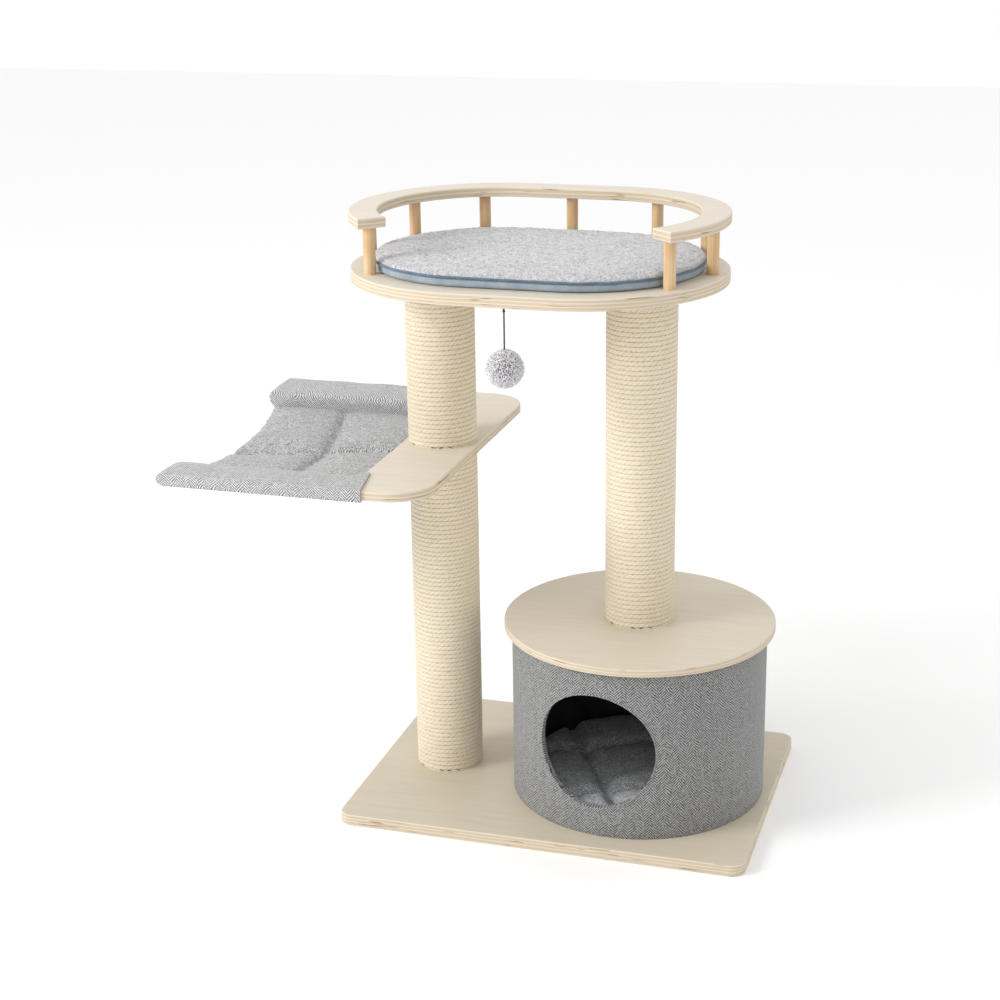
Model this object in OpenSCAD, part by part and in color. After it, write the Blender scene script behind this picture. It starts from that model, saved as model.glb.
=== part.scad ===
// Cat tree: a base board with two rope-wound posts, a round condo, a side hammock,
// a railed top platform with a cushion, and a hanging pom-pom toy.
// Millimetres. +X runs along the base towards the condo, -Y is the front, +Z is up.
// The origin is the middle of the base board's underside.

/* [Base] */
// Length of the base board, left to right
base_length = 530; // [520:1:700]
// Depth of the base board, front to back
base_depth = 390; // [360:1:520]
// Thickness of the base board
base_thickness = 15; // [12:0.5:25]
// Radius of the base board's corners
base_corner_radius = 18; // [5:1:60]

/* [Posts] */
// Distance of the left post's axis from the middle of the base
left_post_offset = 175; // [160:1:200]
// Distance of the right post's and condo's axis from the middle of the base
right_post_offset = 88; // [80:1:90]
// Length of the right post, from the condo's lid to the platform
right_post_length = 440; // [360:1:560]
// Outer diameter of the cardboard core tubes
core_diameter = 77; // [60:1:95]
// Wall of the core tubes
core_wall = 3.5; // [2:0.5:6]
// Diameter of the sisal rope wound on the posts
rope_diameter = 6; // [4:0.5:10]
// Length of the wooden plug in each end of a core tube
plug_length = 26; // [22:1:50]

/* [Condo] */
// Height of the condo's wall, from the base board to its lid
condo_height = 225; // [205:1:300]
// Outer diameter of the condo over its fabric
condo_diameter = 330; // [260:1:350]
// Thickness of the fabric cover
cover_thickness = 2; // [1:0.5:4]
// Thickness of the condo's stiff wall
shell_wall = 5; // [3:0.5:8]
// Thickness of the fabric lining
lining_thickness = 1.5; // [1:0.5:3]
// Width of the wooden rings that stiffen both ends of the wall
ring_width = 10; // [8:0.5:16]
// Height of the wooden rings
ring_height = 12; // [10:0.5:20]
// Diameter of the round door
door_diameter = 153; // [120:1:170]
// Height of the door's centre above the base board
door_centre_height = 115; // [95:1:125]
// Turn of the door away from the front, towards the left post
door_turn = 7; // [0:1:30]
// Diameter of the lid
lid_diameter = 350; // [340:1:380]
// Thickness of the lid
lid_thickness = 10; // [9:0.5:18]
// Thickness of the cushion inside the condo
condo_cushion_thickness = 38; // [20:1:60]
// Gap around the cushion inside the condo
condo_cushion_gap = 3; // [1:0.5:15]

/* [Hammock] */
// Height of the hammock board's top above the floor
hammock_height = 470; // [380:1:520]
// Thickness of the hammock board
hammock_thickness = 12; // [10:0.5:18]
// Depth of the hammock board, front to back
hammock_depth = 460; // [400:1:520]
// Reach of the hammock's arms from the left post's axis
arm_reach = 291; // [240:1:330]
// Width of each arm
arm_width = 45; // [30:1:60]
// Wood of the hammock board past the post's right side
board_margin = 6.5; // [2:0.5:20]
// Radius of the board's corners beside the post
board_corner_radius = 55; // [20:1:60]
// Radius of the arms' tips
arm_tip_radius = 12; // [5:1:20]
// Thickness of the sling's fabric over the arms
sleeve_cloth = 2.5; // [1.5:0.5:4]
// Width of the fabric sleeve on each arm
sleeve_width = 70; // [60:1:85]
// Thickness of the sling's quilted seat
seat_thickness = 14; // [8:1:20]
// Drop from the sleeve's inner fold to the seam that carries the seat
seat_drop = 18; // [10:1:24]
// Sag of the seat's middle below its edges
seat_sag = 5; // [2:1:30]
// Inward bow of the seat's free edge away from the post
seat_edge_bow = 22; // [5:1:40]
// Gap between the seat's bowed edge and the post
seat_post_gap = 3.5; // [1:0.5:15]
// Distance that the rear sleeve sits further out than the front one
sling_skew = 20; // [0:1:30]
// Overhang of the front sleeve past its arm's tip
sleeve_overhang = 4; // [2:1:15]
// Distance from the left post's axis to the front sleeve's near end
sleeve_setback = 26; // [15:1:40]

/* [Platform] */
// Length of the top platform
platform_length = 475; // [440:1:600]
// Depth of the top platform
platform_depth = 358; // [330:1:440]
// Thickness of the top platform
platform_thickness = 15; // [12:0.5:25]
// Width of the safety rail
rail_width = 36; // [24:1:50]
// Thickness of the safety rail
rail_thickness = 13; // [11:0.5:20]
// Gap between the platform and the rail
peg_length = 58; // [45:1:110]
// Diameter of the pegs under the rail
peg_diameter = 15; // [12:0.5:20]
// Diameter of the pegs' glued tenons
tenon_diameter = 9; // [6:0.5:10]
// Depth of the pegs' glued tenons
tenon_depth = 8; // [5:0.5:9]
// Angle of the end pegs in front of the platform's long axis
end_peg_angle = 37.5; // [25:0.5:45]
// Angle between one peg and the next round the rail's ends
peg_step_angle = 35.5; // [30:0.5:38]
// Angle that the rail carries on past its end pegs
rail_end_angle = 4.5; // [4:0.5:10]
// Thickness of the top cushion
top_cushion_thickness = 18; // [10:1:40]
// Gap between the top cushion and the pegs
top_cushion_gap = 3; // [1:0.5:10]
// Thickness of the piping round the top cushion
piping_size = 2; // [1:0.5:4]

/* [Toy] */
// Distance of the toy's eye behind the platform's front edge
toy_setback = 28; // [15:1:80]
// Diameter of the toy's pom-pom
pompom_diameter = 48; // [30:1:50]
// Diameter of the toy's cord
toy_cord_diameter = 2; // [1:0.5:3]

/* [Fasteners] */
// Diameter of the bolts that hold the posts
bolt_diameter = 8; // [6:1:10]
// Diameter of the bolts' heads
bolt_head_diameter = 14; // [12:1:18]
// Height of the bolts' heads
bolt_head_height = 4; // [3:0.5:5]
// Length of bolt inside a threaded insert
bolt_engagement = 16; // [10:1:18]
// Diameter of the washers
washer_diameter = 20; // [18:1:26]
// Thickness of the washers
washer_thickness = 1.5; // [1:0.5:2.5]
// Outer diameter of the threaded inserts
insert_diameter = 12; // [11:0.5:16]
// Diameter of the wood screws
screw_diameter = 3.5; // [3:0.5:4.5]
// Diameter of the wood screws' heads
screw_head_diameter = 7; // [6:0.5:9]
// Height of the wood screws' heads
screw_head_height = 2.2; // [1.5:0.1:3.5]

/* [Hidden] */
$fn = 96;
bolt_clearance = 0.3;      // around a bolt in a wooden board
thread_clearance = 0.05;   // around a bolt in its insert and a screw in its hole
soft_gap = 0.3;            // under a cushion and round a loose loop
arm_gap = 0.5;             // round an arm inside its sleeve
insert_length = 20;
screw_bite = 7;            // length of a wood screw in the piece it holds
screws_per_ring = 4;
first_screw_angle = 45;
recess_gap = 1;            // round a washer in its recess
through = 1;               // how far a cutter runs past a face

left_x = -left_post_offset;
right_x = right_post_offset;
post_diameter = core_diameter + 2 * rope_diameter;
post_radius = post_diameter / 2;
plug_diameter = core_diameter - 2 * core_wall;

condo_top = base_thickness + condo_height;
lid_top = condo_top + lid_thickness;
platform_bottom = lid_top + right_post_length;
platform_top = platform_bottom + platform_thickness;
rail_bottom = platform_top + peg_length;
rail_top = rail_bottom + rail_thickness;
hammock_bottom = hammock_height - hammock_thickness;
bolt_recess = washer_thickness + bolt_head_height;

shell_radius = condo_diameter / 2 - cover_thickness;
lining_radius = shell_radius - shell_wall;
ring_radius = lining_radius - lining_thickness;
screw_circle = ring_radius - ring_width / 2;
door_height = base_thickness + door_centre_height;
condo_cushion_radius = ring_radius - ring_width - condo_cushion_gap;

platform_x = (left_x + right_x) / 2;
end_radius = platform_depth / 2;
end_centre = (platform_length - platform_depth) / 2;
peg_circle = end_radius - rail_width / 2;
peg_angles = [for (i = [0:3]) i * peg_step_angle - end_peg_angle];
rail_end = end_peg_angle + rail_end_angle;
top_cushion_radius = peg_circle - peg_diameter / 2 - top_cushion_gap;

arm_outer = hammock_depth / 2;
arm_inner = arm_outer - arm_width;
arm_tip = left_x - arm_reach;
board_right = left_x + post_radius + board_margin;
root_margin = 2.5;         // wood past the post's left side
root_corner_radius = 3;    // of the gap's corners beside the arms
root_gap = 1;              // between a sleeve's inner side and the gap's corner
root_edge = left_x - post_radius - root_margin;
sleeve_outer = arm_outer + arm_gap + sleeve_cloth;
sleeve_inner = sleeve_outer - sleeve_width;
sleeve_top = hammock_height + arm_gap + sleeve_cloth;
sleeve_bottom = hammock_bottom - arm_gap - sleeve_cloth;
sleeve_droop = 6;          // how far the sleeve's inner side hangs below its top
sleeve_lap = 3;            // how far the seat runs into a sleeve's inner side
sleeve_left = arm_tip - sleeve_overhang;
sleeve_right = left_x - sleeve_setback;
seat_edge = sleeve_inner + sleeve_lap;
seat_post_bow = sleeve_right - sling_skew / 2 - (left_x - post_radius - seat_post_gap);
seat_rim_height = sleeve_top - sleeve_droop - seat_drop;
seat_steps = 16;

eye_wire = 1.6;
eye_radius = 2.8;          // of the ring's wire centre
eye_shank = 10;
loop_wire = 1.4;
loop_radius = 1.9;
knot_radius = 1.8;
toy_x = platform_x;
toy_y = -(end_radius - toy_setback);
eye_z = platform_bottom - eye_radius - eye_wire / 2;
eye_low_z = eye_z - eye_radius;
loop_z = eye_low_z - (loop_radius - loop_wire / 2 - eye_wire / 2 - soft_gap);
knot_z = loop_z - loop_radius - 1.2;
pompom_z = platform_bottom - 79;
// The cord's route, from under its knot to inside the pom-pom: offsets from the eye's
// place on the platform's underside
cord_route = [
    [0, 0, -11.7], [0, 0, -16], [0, 0, -20], [0, 0, -24], [0, 0, -28], [0, 0, -32],
    [0, 0, -36], [0, 0, -40], [0, 0, -44], [0, 0, -48], [0, 0, -52], [0, 0, -56],
    [0, 0, -58]
];
cord_sides = 8;

plywood = [0.87, 0.79, 0.66];
peg_wood = [0.89, 0.74, 0.55];
sisal = [0.91, 0.85, 0.72];
cardboard = [0.68, 0.55, 0.40];
steel = [0.72, 0.73, 0.75];
woven_grey = [0.55, 0.56, 0.58];
plush_grey = [0.77, 0.77, 0.78];
piping_blue = [0.43, 0.51, 0.59];
cord_black = [0.20, 0.20, 0.22];
pompom_grey = [0.74, 0.73, 0.77];

// ---------- shared shapes ----------

module rounded_rectangle(x0, y0, x1, y1, r) {
    translate([x0 + r, y0]) square([x1 - x0 - 2 * r, y1 - y0]);
    translate([x0, y0 + r]) square([x1 - x0, y1 - y0 - 2 * r]);
    for (x = [x0 + r, x1 - r], y = [y0 + r, y1 - r]) translate([x, y]) circle(r);
}

// A rectangle with half-round ends, its end centres at x = +half and -half
module stadium(half, r) {
    translate([-half, -r]) square([2 * half, 2 * r]);
    for (side = [-1, 1]) translate([side * half, 0]) circle(r);
}

module tube(outer_r, inner_r, h) {
    difference() {
        cylinder(r = outer_r, h = h);
        translate([0, 0, -through]) cylinder(r = inner_r, h = h + 2 * through);
    }
}

module ring_of_screws(count = screws_per_ring) {
    for (i = [0:count - 1])
        rotate([0, 0, first_screw_angle + i * 360 / count]) translate([screw_circle, 0, 0])
            children();
}

// A through hole with a recess for a head and washer at z = 0, cut upwards
module bolt_hole(board) {
    translate([0, 0, -through])
        cylinder(d = bolt_diameter + 2 * bolt_clearance, h = board + 2 * through);
    translate([0, 0, -through])
        cylinder(d = washer_diameter + 2 * recess_gap, h = bolt_recess + through);
}

// A bolt whose head's outer face is at z = 0 and whose shank points up
module bolt(shank) {
    cylinder(d = bolt_head_diameter, h = bolt_head_height);
    cylinder(d = bolt_diameter, h = bolt_head_height + shank);
}

module washer() {
    tube(washer_diameter / 2, bolt_diameter / 2 + bolt_clearance, washer_thickness);
}

// ---------- base ----------

module base_board() {
    color(plywood) difference() {
        linear_extrude(base_thickness)
            rounded_rectangle(-base_length / 2, -base_depth / 2,
                              base_length / 2, base_depth / 2, base_corner_radius);
        translate([left_x, 0, 0]) bolt_hole(base_thickness);
        translate([right_x, 0, 0]) ring_of_screws() screw_hole(base_thickness);
    }
}

// A clearance hole with a cone for a flush head at z = 0
module screw_hole(board) {
    translate([0, 0, -through])
        cylinder(d = screw_diameter + 2 * thread_clearance, h = board + 2 * through);
    cylinder(d1 = screw_head_diameter + 2 * thread_clearance,
             d2 = screw_diameter + 2 * thread_clearance, h = screw_head_height);
}

module condo_base_screws() {
    color(steel) translate([right_x, 0, 0]) ring_of_screws() {
        cylinder(d1 = screw_head_diameter, d2 = screw_diameter, h = screw_head_height);
        cylinder(d = screw_diameter, h = base_thickness + screw_bite);
    }
}

// ---------- condo ----------

module condo_wall(outer_r, inner_r) {
    translate([right_x, 0, base_thickness]) difference() {
        tube(outer_r, inner_r, condo_height);
        translate([0, 0, door_centre_height]) rotate([90, 0, -door_turn])
            cylinder(d = door_diameter, h = condo_diameter);
    }
}

module condo_shell() {
    color(cardboard) condo_wall(shell_radius, lining_radius);
}

module condo_cover() {
    color(woven_grey) condo_wall(condo_diameter / 2, shell_radius);
}

module condo_lining() {
    color(woven_grey) condo_wall(lining_radius, ring_radius);
}

module stiffening_ring(screw_from) {
    difference() {
        tube(ring_radius, ring_radius - ring_width, ring_height);
        ring_of_screws() translate([0, 0, screw_from - through])
            cylinder(d = screw_diameter + 2 * thread_clearance, h = ring_height + through);
    }
}

module condo_bottom_ring() {
    color(plywood) translate([right_x, 0, base_thickness])
        stiffening_ring(screw_bite - ring_height);
}

module condo_top_ring() {
    color(plywood) translate([right_x, 0, condo_top - ring_height]) stiffening_ring(1);
}

module condo_lid() {
    color(plywood) translate([right_x, 0, condo_top]) difference() {
        cylinder(d = lid_diameter, h = lid_thickness, $fn = 180);
        translate([0, 0, -through])
            cylinder(d = bolt_diameter + 2 * bolt_clearance, h = lid_thickness + 2 * through);
        ring_of_screws() translate([0, 0, -through])
            cylinder(d = screw_diameter + 2 * thread_clearance, h = screw_bite + through);
    }
}

module condo_lid_screws() {
    color(steel) translate([right_x, 0, condo_top - ring_height - screw_head_height])
        ring_of_screws() {
            cylinder(d = screw_head_diameter, h = screw_head_height);
            cylinder(d = screw_diameter, h = screw_head_height + ring_height + screw_bite);
        }
}

module condo_cushion() {
    color(woven_grey) translate([right_x, 0, base_thickness + soft_gap])
        cylinder(r = condo_cushion_radius, h = condo_cushion_thickness);
}

// ---------- posts ----------

module post_core(x, z, length) {
    color(cardboard) translate([x, 0, z]) tube(core_diameter / 2, plug_diameter / 2, length);
}

module post_rope(x, z, length) {
    color(sisal) translate([x, 0, z]) tube(post_radius, core_diameter / 2, length);
}

// A plug with its insert's blind hole in the face at z = 0
module plug() {
    difference() {
        cylinder(d = plug_diameter, h = plug_length);
        translate([0, 0, -through]) cylinder(d = insert_diameter, h = insert_length + through);
    }
}

module insert() {
    tube(insert_diameter / 2, bolt_diameter / 2 + thread_clearance, insert_length);
}

// Places a child at both ends of a post, each facing into the post
module at_post_ends(x, z, length) {
    translate([x, 0, z]) children();
    translate([x, 0, z + length]) mirror([0, 0, 1]) children();
}

left_lower_length = hammock_bottom - base_thickness;
left_upper_length = platform_bottom - hammock_height;

module right_post_core() { post_core(right_x, lid_top, right_post_length); }
module right_post_rope() { post_rope(right_x, lid_top, right_post_length); }
module right_post_plugs() {
    color(plywood) at_post_ends(right_x, lid_top, right_post_length) plug();
}

module left_lower_post_core() { post_core(left_x, base_thickness, left_lower_length); }
module left_lower_post_rope() { post_rope(left_x, base_thickness, left_lower_length); }
module left_lower_post_plugs() {
    color(plywood) at_post_ends(left_x, base_thickness, left_lower_length) plug();
}

module left_upper_post_core() { post_core(left_x, hammock_height, left_upper_length); }
module left_upper_post_rope() { post_rope(left_x, hammock_height, left_upper_length); }
module left_upper_post_plugs() {
    color(plywood) at_post_ends(left_x, hammock_height, left_upper_length) plug();
}

module post_inserts() {
    color(steel) {
        at_post_ends(right_x, lid_top, right_post_length) insert();
        at_post_ends(left_x, base_thickness, left_lower_length) insert();
        at_post_ends(left_x, hammock_height, left_upper_length) insert();
    }
}

// ---------- fasteners ----------

module base_bolt() {
    color(steel) translate([left_x, 0, 0])
        bolt(base_thickness - bolt_head_height + bolt_engagement);
}

module lid_bolt() {
    color(steel) translate([right_x, 0, condo_top - bolt_recess])
        bolt(washer_thickness + lid_thickness + bolt_engagement);
}

module joining_stud() {
    color(steel) translate([left_x, 0, hammock_bottom - bolt_engagement])
        cylinder(d = bolt_diameter, h = hammock_thickness + 2 * bolt_engagement);
}

module platform_bolts() {
    color(steel) for (x = [left_x, right_x])
        translate([x, 0, platform_top]) mirror([0, 0, 1])
            bolt(platform_thickness - bolt_head_height + bolt_engagement);
}

module washers() {
    color(steel) {
        translate([left_x, 0, bolt_head_height]) washer();
        translate([right_x, 0, condo_top - washer_thickness]) washer();
        for (x = [left_x, right_x]) translate([x, 0, platform_top - bolt_recess]) washer();
    }
}

// ---------- hammock ----------

module hammock_outline() {
    difference() {
        union() {
            rounded_rectangle(arm_tip, -arm_outer, board_right - board_corner_radius,
                              arm_outer, arm_tip_radius);
            rounded_rectangle(board_right - 2.4 * board_corner_radius, -arm_outer,
                              board_right, arm_outer, board_corner_radius);
        }
        rounded_rectangle(arm_tip - 2 * arm_width, -arm_inner, root_edge, arm_inner,
                          root_corner_radius);
    }
}

module hammock_board() {
    color(plywood) translate([0, 0, hammock_bottom]) difference() {
        linear_extrude(hammock_thickness) hammock_outline();
        translate([left_x, 0, -through])
            cylinder(d = bolt_diameter + 2 * bolt_clearance,
                     h = hammock_thickness + 2 * through);
    }
}

function along_seat(i) = -seat_edge + 2 * seat_edge * i / seat_steps;
function seat_bend(y) = 1 - pow(y / seat_edge, 2);
function seat_top(y) = seat_rim_height - seat_sag * seat_bend(y);
function skew_at(y) = sling_skew * (y + sleeve_outer) / (2 * sleeve_outer);

// The sleeve's cross-section on the rear arm, with the arm's pocket in it
module sleeve_section() {
    difference() {
        polygon([
            [sleeve_outer, sleeve_bottom], [sleeve_outer, sleeve_top],
            [arm_inner, sleeve_top], [sleeve_inner, sleeve_top - sleeve_droop],
            [sleeve_inner, seat_rim_height - seat_thickness], [arm_inner, sleeve_bottom]
        ]);
        translate([arm_inner - arm_gap, hammock_bottom - arm_gap])
            square([arm_width + 2 * arm_gap, hammock_thickness + 2 * arm_gap]);
    }
}

// Its inner side stops short of the board's root, and the rest reaches further along the arm
module sleeve(x0, x1) {
    inner_end = root_edge - root_corner_radius - root_gap;
    difference() {
        translate([x0, 0, 0]) rotate([90, 0, 90]) linear_extrude(x1 - x0) sleeve_section();
        translate([inner_end, 0, sleeve_bottom - sleeve_width])
            cube([x1 - x0, arm_inner - arm_gap, 2 * sleeve_width]);
    }
}

module seat_slab() {
    translate([sleeve_left - 2 * sling_skew, 0, 0]) rotate([90, 0, 90])
        linear_extrude(sleeve_right - sleeve_left + 2 * sling_skew)
            polygon(concat(
                [for (i = [0:seat_steps]) [along_seat(i), seat_top(along_seat(i))]],
                [for (i = [seat_steps:-1:0])
                    [along_seat(i), seat_top(along_seat(i)) - seat_thickness]]
            ));
}

// The seat seen from above: skewed, with both free edges bowed inwards
module seat_outline() {
    polygon(concat(
        [for (i = [0:seat_steps])
            let (y = along_seat(i))
            [sleeve_left - skew_at(y) + seat_edge_bow * seat_bend(y), y]],
        [for (i = [seat_steps:-1:0])
            let (y = along_seat(i))
            [sleeve_right - skew_at(y) - seat_post_bow * seat_bend(y), y]]
    ));
}

module hammock_sling() {
    color(woven_grey) {
        sleeve(sleeve_left - sling_skew, sleeve_right - sling_skew);
        mirror([0, 1, 0]) sleeve(sleeve_left, sleeve_right);
        intersection() {
            seat_slab();
            translate([0, 0, hammock_bottom - 100]) linear_extrude(200) seat_outline();
        }
    }
}

// ---------- platform, rail and cushion ----------

// Places of the pegs round the rail, from the right end to the left end
function peg_place(i) = i == 4
    ? [0, peg_circle]
    : i < 4
        ? [end_centre + peg_circle * cos(peg_angles[i]), peg_circle * sin(peg_angles[i])]
        : [-peg_place(8 - i)[0], peg_place(8 - i)[1]];

module at_peg(i) {
    translate([platform_x + peg_place(i)[0], peg_place(i)[1], 0]) children();
}

module top_platform() {
    color(plywood) difference() {
        translate([platform_x, 0, platform_bottom])
            linear_extrude(platform_thickness) stadium(end_centre, end_radius, $fn = 180);
        for (x = [left_x, right_x]) translate([x, 0, platform_top]) mirror([0, 0, 1])
            bolt_hole(platform_thickness);
        for (i = [0:8]) at_peg(i) translate([0, 0, platform_top - tenon_depth])
            cylinder(d = tenon_diameter, h = tenon_depth + through);
        translate([toy_x, toy_y, platform_bottom - through])
            cylinder(d = eye_wire, h = eye_shank + through);
    }
}

module rail_outline() {
    reach = platform_length;
    difference() {
        stadium(end_centre, end_radius, $fn = 180);
        stadium(end_centre, end_radius - rail_width, $fn = 180);
        polygon([
            [end_centre, 0],
            [end_centre + reach * cos(rail_end), -reach * sin(rail_end)],
            [-end_centre - reach * cos(rail_end), -reach * sin(rail_end)],
            [-end_centre, 0]
        ]);
    }
}

module safety_rail() {
    color(plywood) difference() {
        translate([platform_x, 0, rail_bottom]) linear_extrude(rail_thickness) rail_outline();
        for (i = [0:8]) at_peg(i) translate([0, 0, rail_bottom - through])
            cylinder(d = tenon_diameter, h = tenon_depth + through);
    }
}

module rail_peg(i) {
    color(peg_wood) at_peg(i) {
        translate([0, 0, platform_top]) cylinder(d = peg_diameter, h = peg_length);
        translate([0, 0, platform_top - tenon_depth])
            cylinder(d = tenon_diameter, h = peg_length + 2 * tenon_depth);
    }
}

cushion_low_z = platform_top + soft_gap;
piping_z = cushion_low_z + top_cushion_thickness - 2 * piping_size;

module top_cushion() {
    color(plush_grey) translate([platform_x, 0, cushion_low_z])
        linear_extrude(top_cushion_thickness)
            stadium(end_centre, top_cushion_radius - piping_size, $fn = 180);
}

module top_cushion_piping() {
    color(piping_blue) translate([platform_x, 0, piping_z])
        linear_extrude(piping_size) difference() {
            stadium(end_centre, top_cushion_radius, $fn = 180);
            stadium(end_centre, top_cushion_radius - piping_size, $fn = 180);
        }
}

// ---------- toy ----------

module wire_ring(ring_r, wire_d) {
    rotate_extrude($fn = 48) translate([ring_r, 0]) circle(d = wire_d, $fn = 24);
}

module toy_eye() {
    color(steel) translate([toy_x, toy_y, 0]) {
        translate([0, 0, eye_z]) rotate([90, 0, 0]) wire_ring(eye_radius, eye_wire);
        translate([0, 0, eye_z + eye_radius])
            cylinder(d = eye_wire, h = eye_shank + eye_wire / 2, $fn = 24);
    }
}

module toy_loop() {
    color(cord_black) translate([toy_x, toy_y, 0]) {
        translate([0, 0, loop_z]) rotate([0, 90, 0]) wire_ring(loop_radius, loop_wire);
        translate([0, 0, knot_z]) sphere(r = knot_radius, $fn = 48);
    }
}

function unit(v) = v / norm(v);
function route_way(i) = unit(
    cord_route[min(i + 1, len(cord_route) - 1)] - cord_route[max(i - 1, 0)]);
// One ring of the cord's tube, square to the route
function cord_ring(i) =
    let (way = route_way(i), side = unit(cross(way, [0, 1, 0])), over = cross(side, way))
    [for (k = [0:cord_sides - 1])
        cord_route[i] + toy_cord_diameter / 2
            * (cos(k * 360 / cord_sides) * side + sin(k * 360 / cord_sides) * over)];

module toy_cord() {
    rings = len(cord_route);
    points = [for (i = [0:rings - 1]) each cord_ring(i)];
    walls = [for (i = [0:rings - 2], k = [0:cord_sides - 1])
        let (next = (k + 1) % cord_sides)
        [i * cord_sides + k, i * cord_sides + next,
         (i + 1) * cord_sides + next, (i + 1) * cord_sides + k]];
    first_end = [for (k = [cord_sides - 1:-1:0]) k];
    last_end = [for (k = [0:cord_sides - 1]) (rings - 1) * cord_sides + k];
    color(cord_black) translate([toy_x, toy_y, platform_bottom])
        polyhedron(points = points, faces = concat([first_end], walls, [last_end]));
}

module toy_pompom() {
    color(pompom_grey) translate([toy_x, toy_y, pompom_z]) sphere(d = pompom_diameter);
}

// ---------- parts ----------

base_board();
condo_shell();
condo_cover();
condo_lining();
condo_bottom_ring();
condo_top_ring();
condo_lid();
condo_base_screws();
condo_lid_screws();
condo_cushion();
right_post_core();
right_post_rope();
right_post_plugs();
left_lower_post_core();
left_lower_post_rope();
left_lower_post_plugs();
left_upper_post_core();
left_upper_post_rope();
left_upper_post_plugs();
post_inserts();
base_bolt();
lid_bolt();
joining_stud();
platform_bolts();
washers();
hammock_board();
hammock_sling();
top_platform();
safety_rail();
rail_peg(0);  // rail_peg_1
rail_peg(1);  // rail_peg_2
rail_peg(2);  // rail_peg_3
rail_peg(3);  // rail_peg_4
rail_peg(4);  // rail_peg_5
rail_peg(5);  // rail_peg_6
rail_peg(6);  // rail_peg_7
rail_peg(7);  // rail_peg_8
rail_peg(8);  // rail_peg_9
top_cushion();
top_cushion_piping();
toy_eye();
toy_loop();
toy_cord();
toy_pompom();
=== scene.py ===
"""Looks of the cat tree: sanded plywood, wound sisal, woven and padded soft goods, and a pom-pom toy.

Every length is in metres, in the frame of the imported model: +X towards the condo, -Y the front, +Z up.
"""
import math
import random

import bmesh
import bpy
from mathutils import Matrix, Vector, noise


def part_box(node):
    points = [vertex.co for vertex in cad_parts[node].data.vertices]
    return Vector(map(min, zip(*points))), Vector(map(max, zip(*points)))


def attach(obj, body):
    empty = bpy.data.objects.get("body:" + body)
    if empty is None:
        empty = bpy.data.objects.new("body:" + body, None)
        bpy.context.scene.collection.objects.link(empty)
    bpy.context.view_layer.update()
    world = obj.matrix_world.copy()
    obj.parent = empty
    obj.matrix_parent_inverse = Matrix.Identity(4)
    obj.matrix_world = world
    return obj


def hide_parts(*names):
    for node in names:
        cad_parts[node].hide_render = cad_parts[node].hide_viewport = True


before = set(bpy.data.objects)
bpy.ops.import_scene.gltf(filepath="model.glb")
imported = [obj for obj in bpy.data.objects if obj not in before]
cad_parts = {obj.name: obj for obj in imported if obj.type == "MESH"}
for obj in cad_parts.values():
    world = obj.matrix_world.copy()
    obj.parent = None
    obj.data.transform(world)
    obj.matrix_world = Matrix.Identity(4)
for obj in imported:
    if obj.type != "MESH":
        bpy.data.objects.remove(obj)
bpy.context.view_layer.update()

MM = 0.001
FRONT_TURN = math.radians(17.26)      # the camera's place round the object, from the front
CAMERA_RISE = math.radians(18.58)
CAMERA_ROLL = math.radians(-0.87)
CAMERA_PLACE = Vector((0.613, -2.2905, 1.1993))
CAMERA_LENS = 70.16

# Places that the frame gives
POST_LOW, POST_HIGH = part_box("left_upper_post_rope")
RIGHT_POST_LOW, RIGHT_POST_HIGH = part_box("right_post_rope")
LEFT_AXIS = (POST_LOW + POST_HIGH) / 2
RIGHT_AXIS = (RIGHT_POST_LOW + RIGHT_POST_HIGH) / 2
POST_RADIUS = (POST_HIGH.x - POST_LOW.x) / 2
CORE_RADIUS = (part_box("right_post_core")[1].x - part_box("right_post_core")[0].x) / 2
CONDO_LOW, CONDO_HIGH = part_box("condo_cover")
CONDO_RADIUS = (CONDO_HIGH.x - CONDO_LOW.x) / 2


# ---------- tools ----------

def hex_colour(code):
    """An sRGB hex value as a linear colour."""
    channels = [int(code[i:i + 2], 16) / 255 for i in (1, 3, 5)]
    return (*[c / 12.92 if c <= 0.04045 else ((c + 0.055) / 1.055) ** 2.4 for c in channels], 1)


def pick(obj):
    """Makes obj the one selected and active object."""
    bpy.ops.object.select_all(action="DESELECT")
    obj.select_set(True)
    bpy.context.view_layer.objects.active = obj


def open_mesh(obj, kind="FACE", where=None):
    """Opens obj for editing, with the faces, edges or points selected that where() accepts."""
    pick(obj)
    bpy.ops.object.mode_set(mode="EDIT")
    bpy.ops.mesh.select_mode(type=kind)
    bpy.ops.mesh.select_all(action="DESELECT" if where else "SELECT")
    if where:
        mesh = bmesh.from_edit_mesh(obj.data)
        for element in {"FACE": mesh.faces, "EDGE": mesh.edges, "VERT": mesh.verts}[kind]:
            if where(element):
                element.select_set(True)
        bmesh.update_edit_mesh(obj.data)


def close_mesh():
    bpy.ops.object.mode_set(mode="OBJECT")


def edit(obj, operator, kind="FACE", where=None, **settings):
    """Runs one mesh operator on the faces, edges or points of obj that where() accepts."""
    open_mesh(obj, kind, where)
    operator(**settings)
    close_mesh()


def apply_place(obj):
    """Puts an object's place, turn and size into its mesh."""
    pick(obj)
    bpy.ops.object.transform_apply(location=True, rotation=True, scale=True)


def modify(obj, kind, **settings):
    """Adds a modifier with its settings and applies it."""
    modifier = obj.modifiers.new(kind, kind)
    for name, value in settings.items():
        setattr(modifier, name, value)
    pick(obj)
    bpy.ops.object.modifier_apply(modifier=modifier.name)


def reshape(obj, rule):
    """Moves every point of a mesh to where rule() puts it."""
    for point in obj.data.vertices:
        point.co = rule(point.co)
    obj.data.update()


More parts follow.
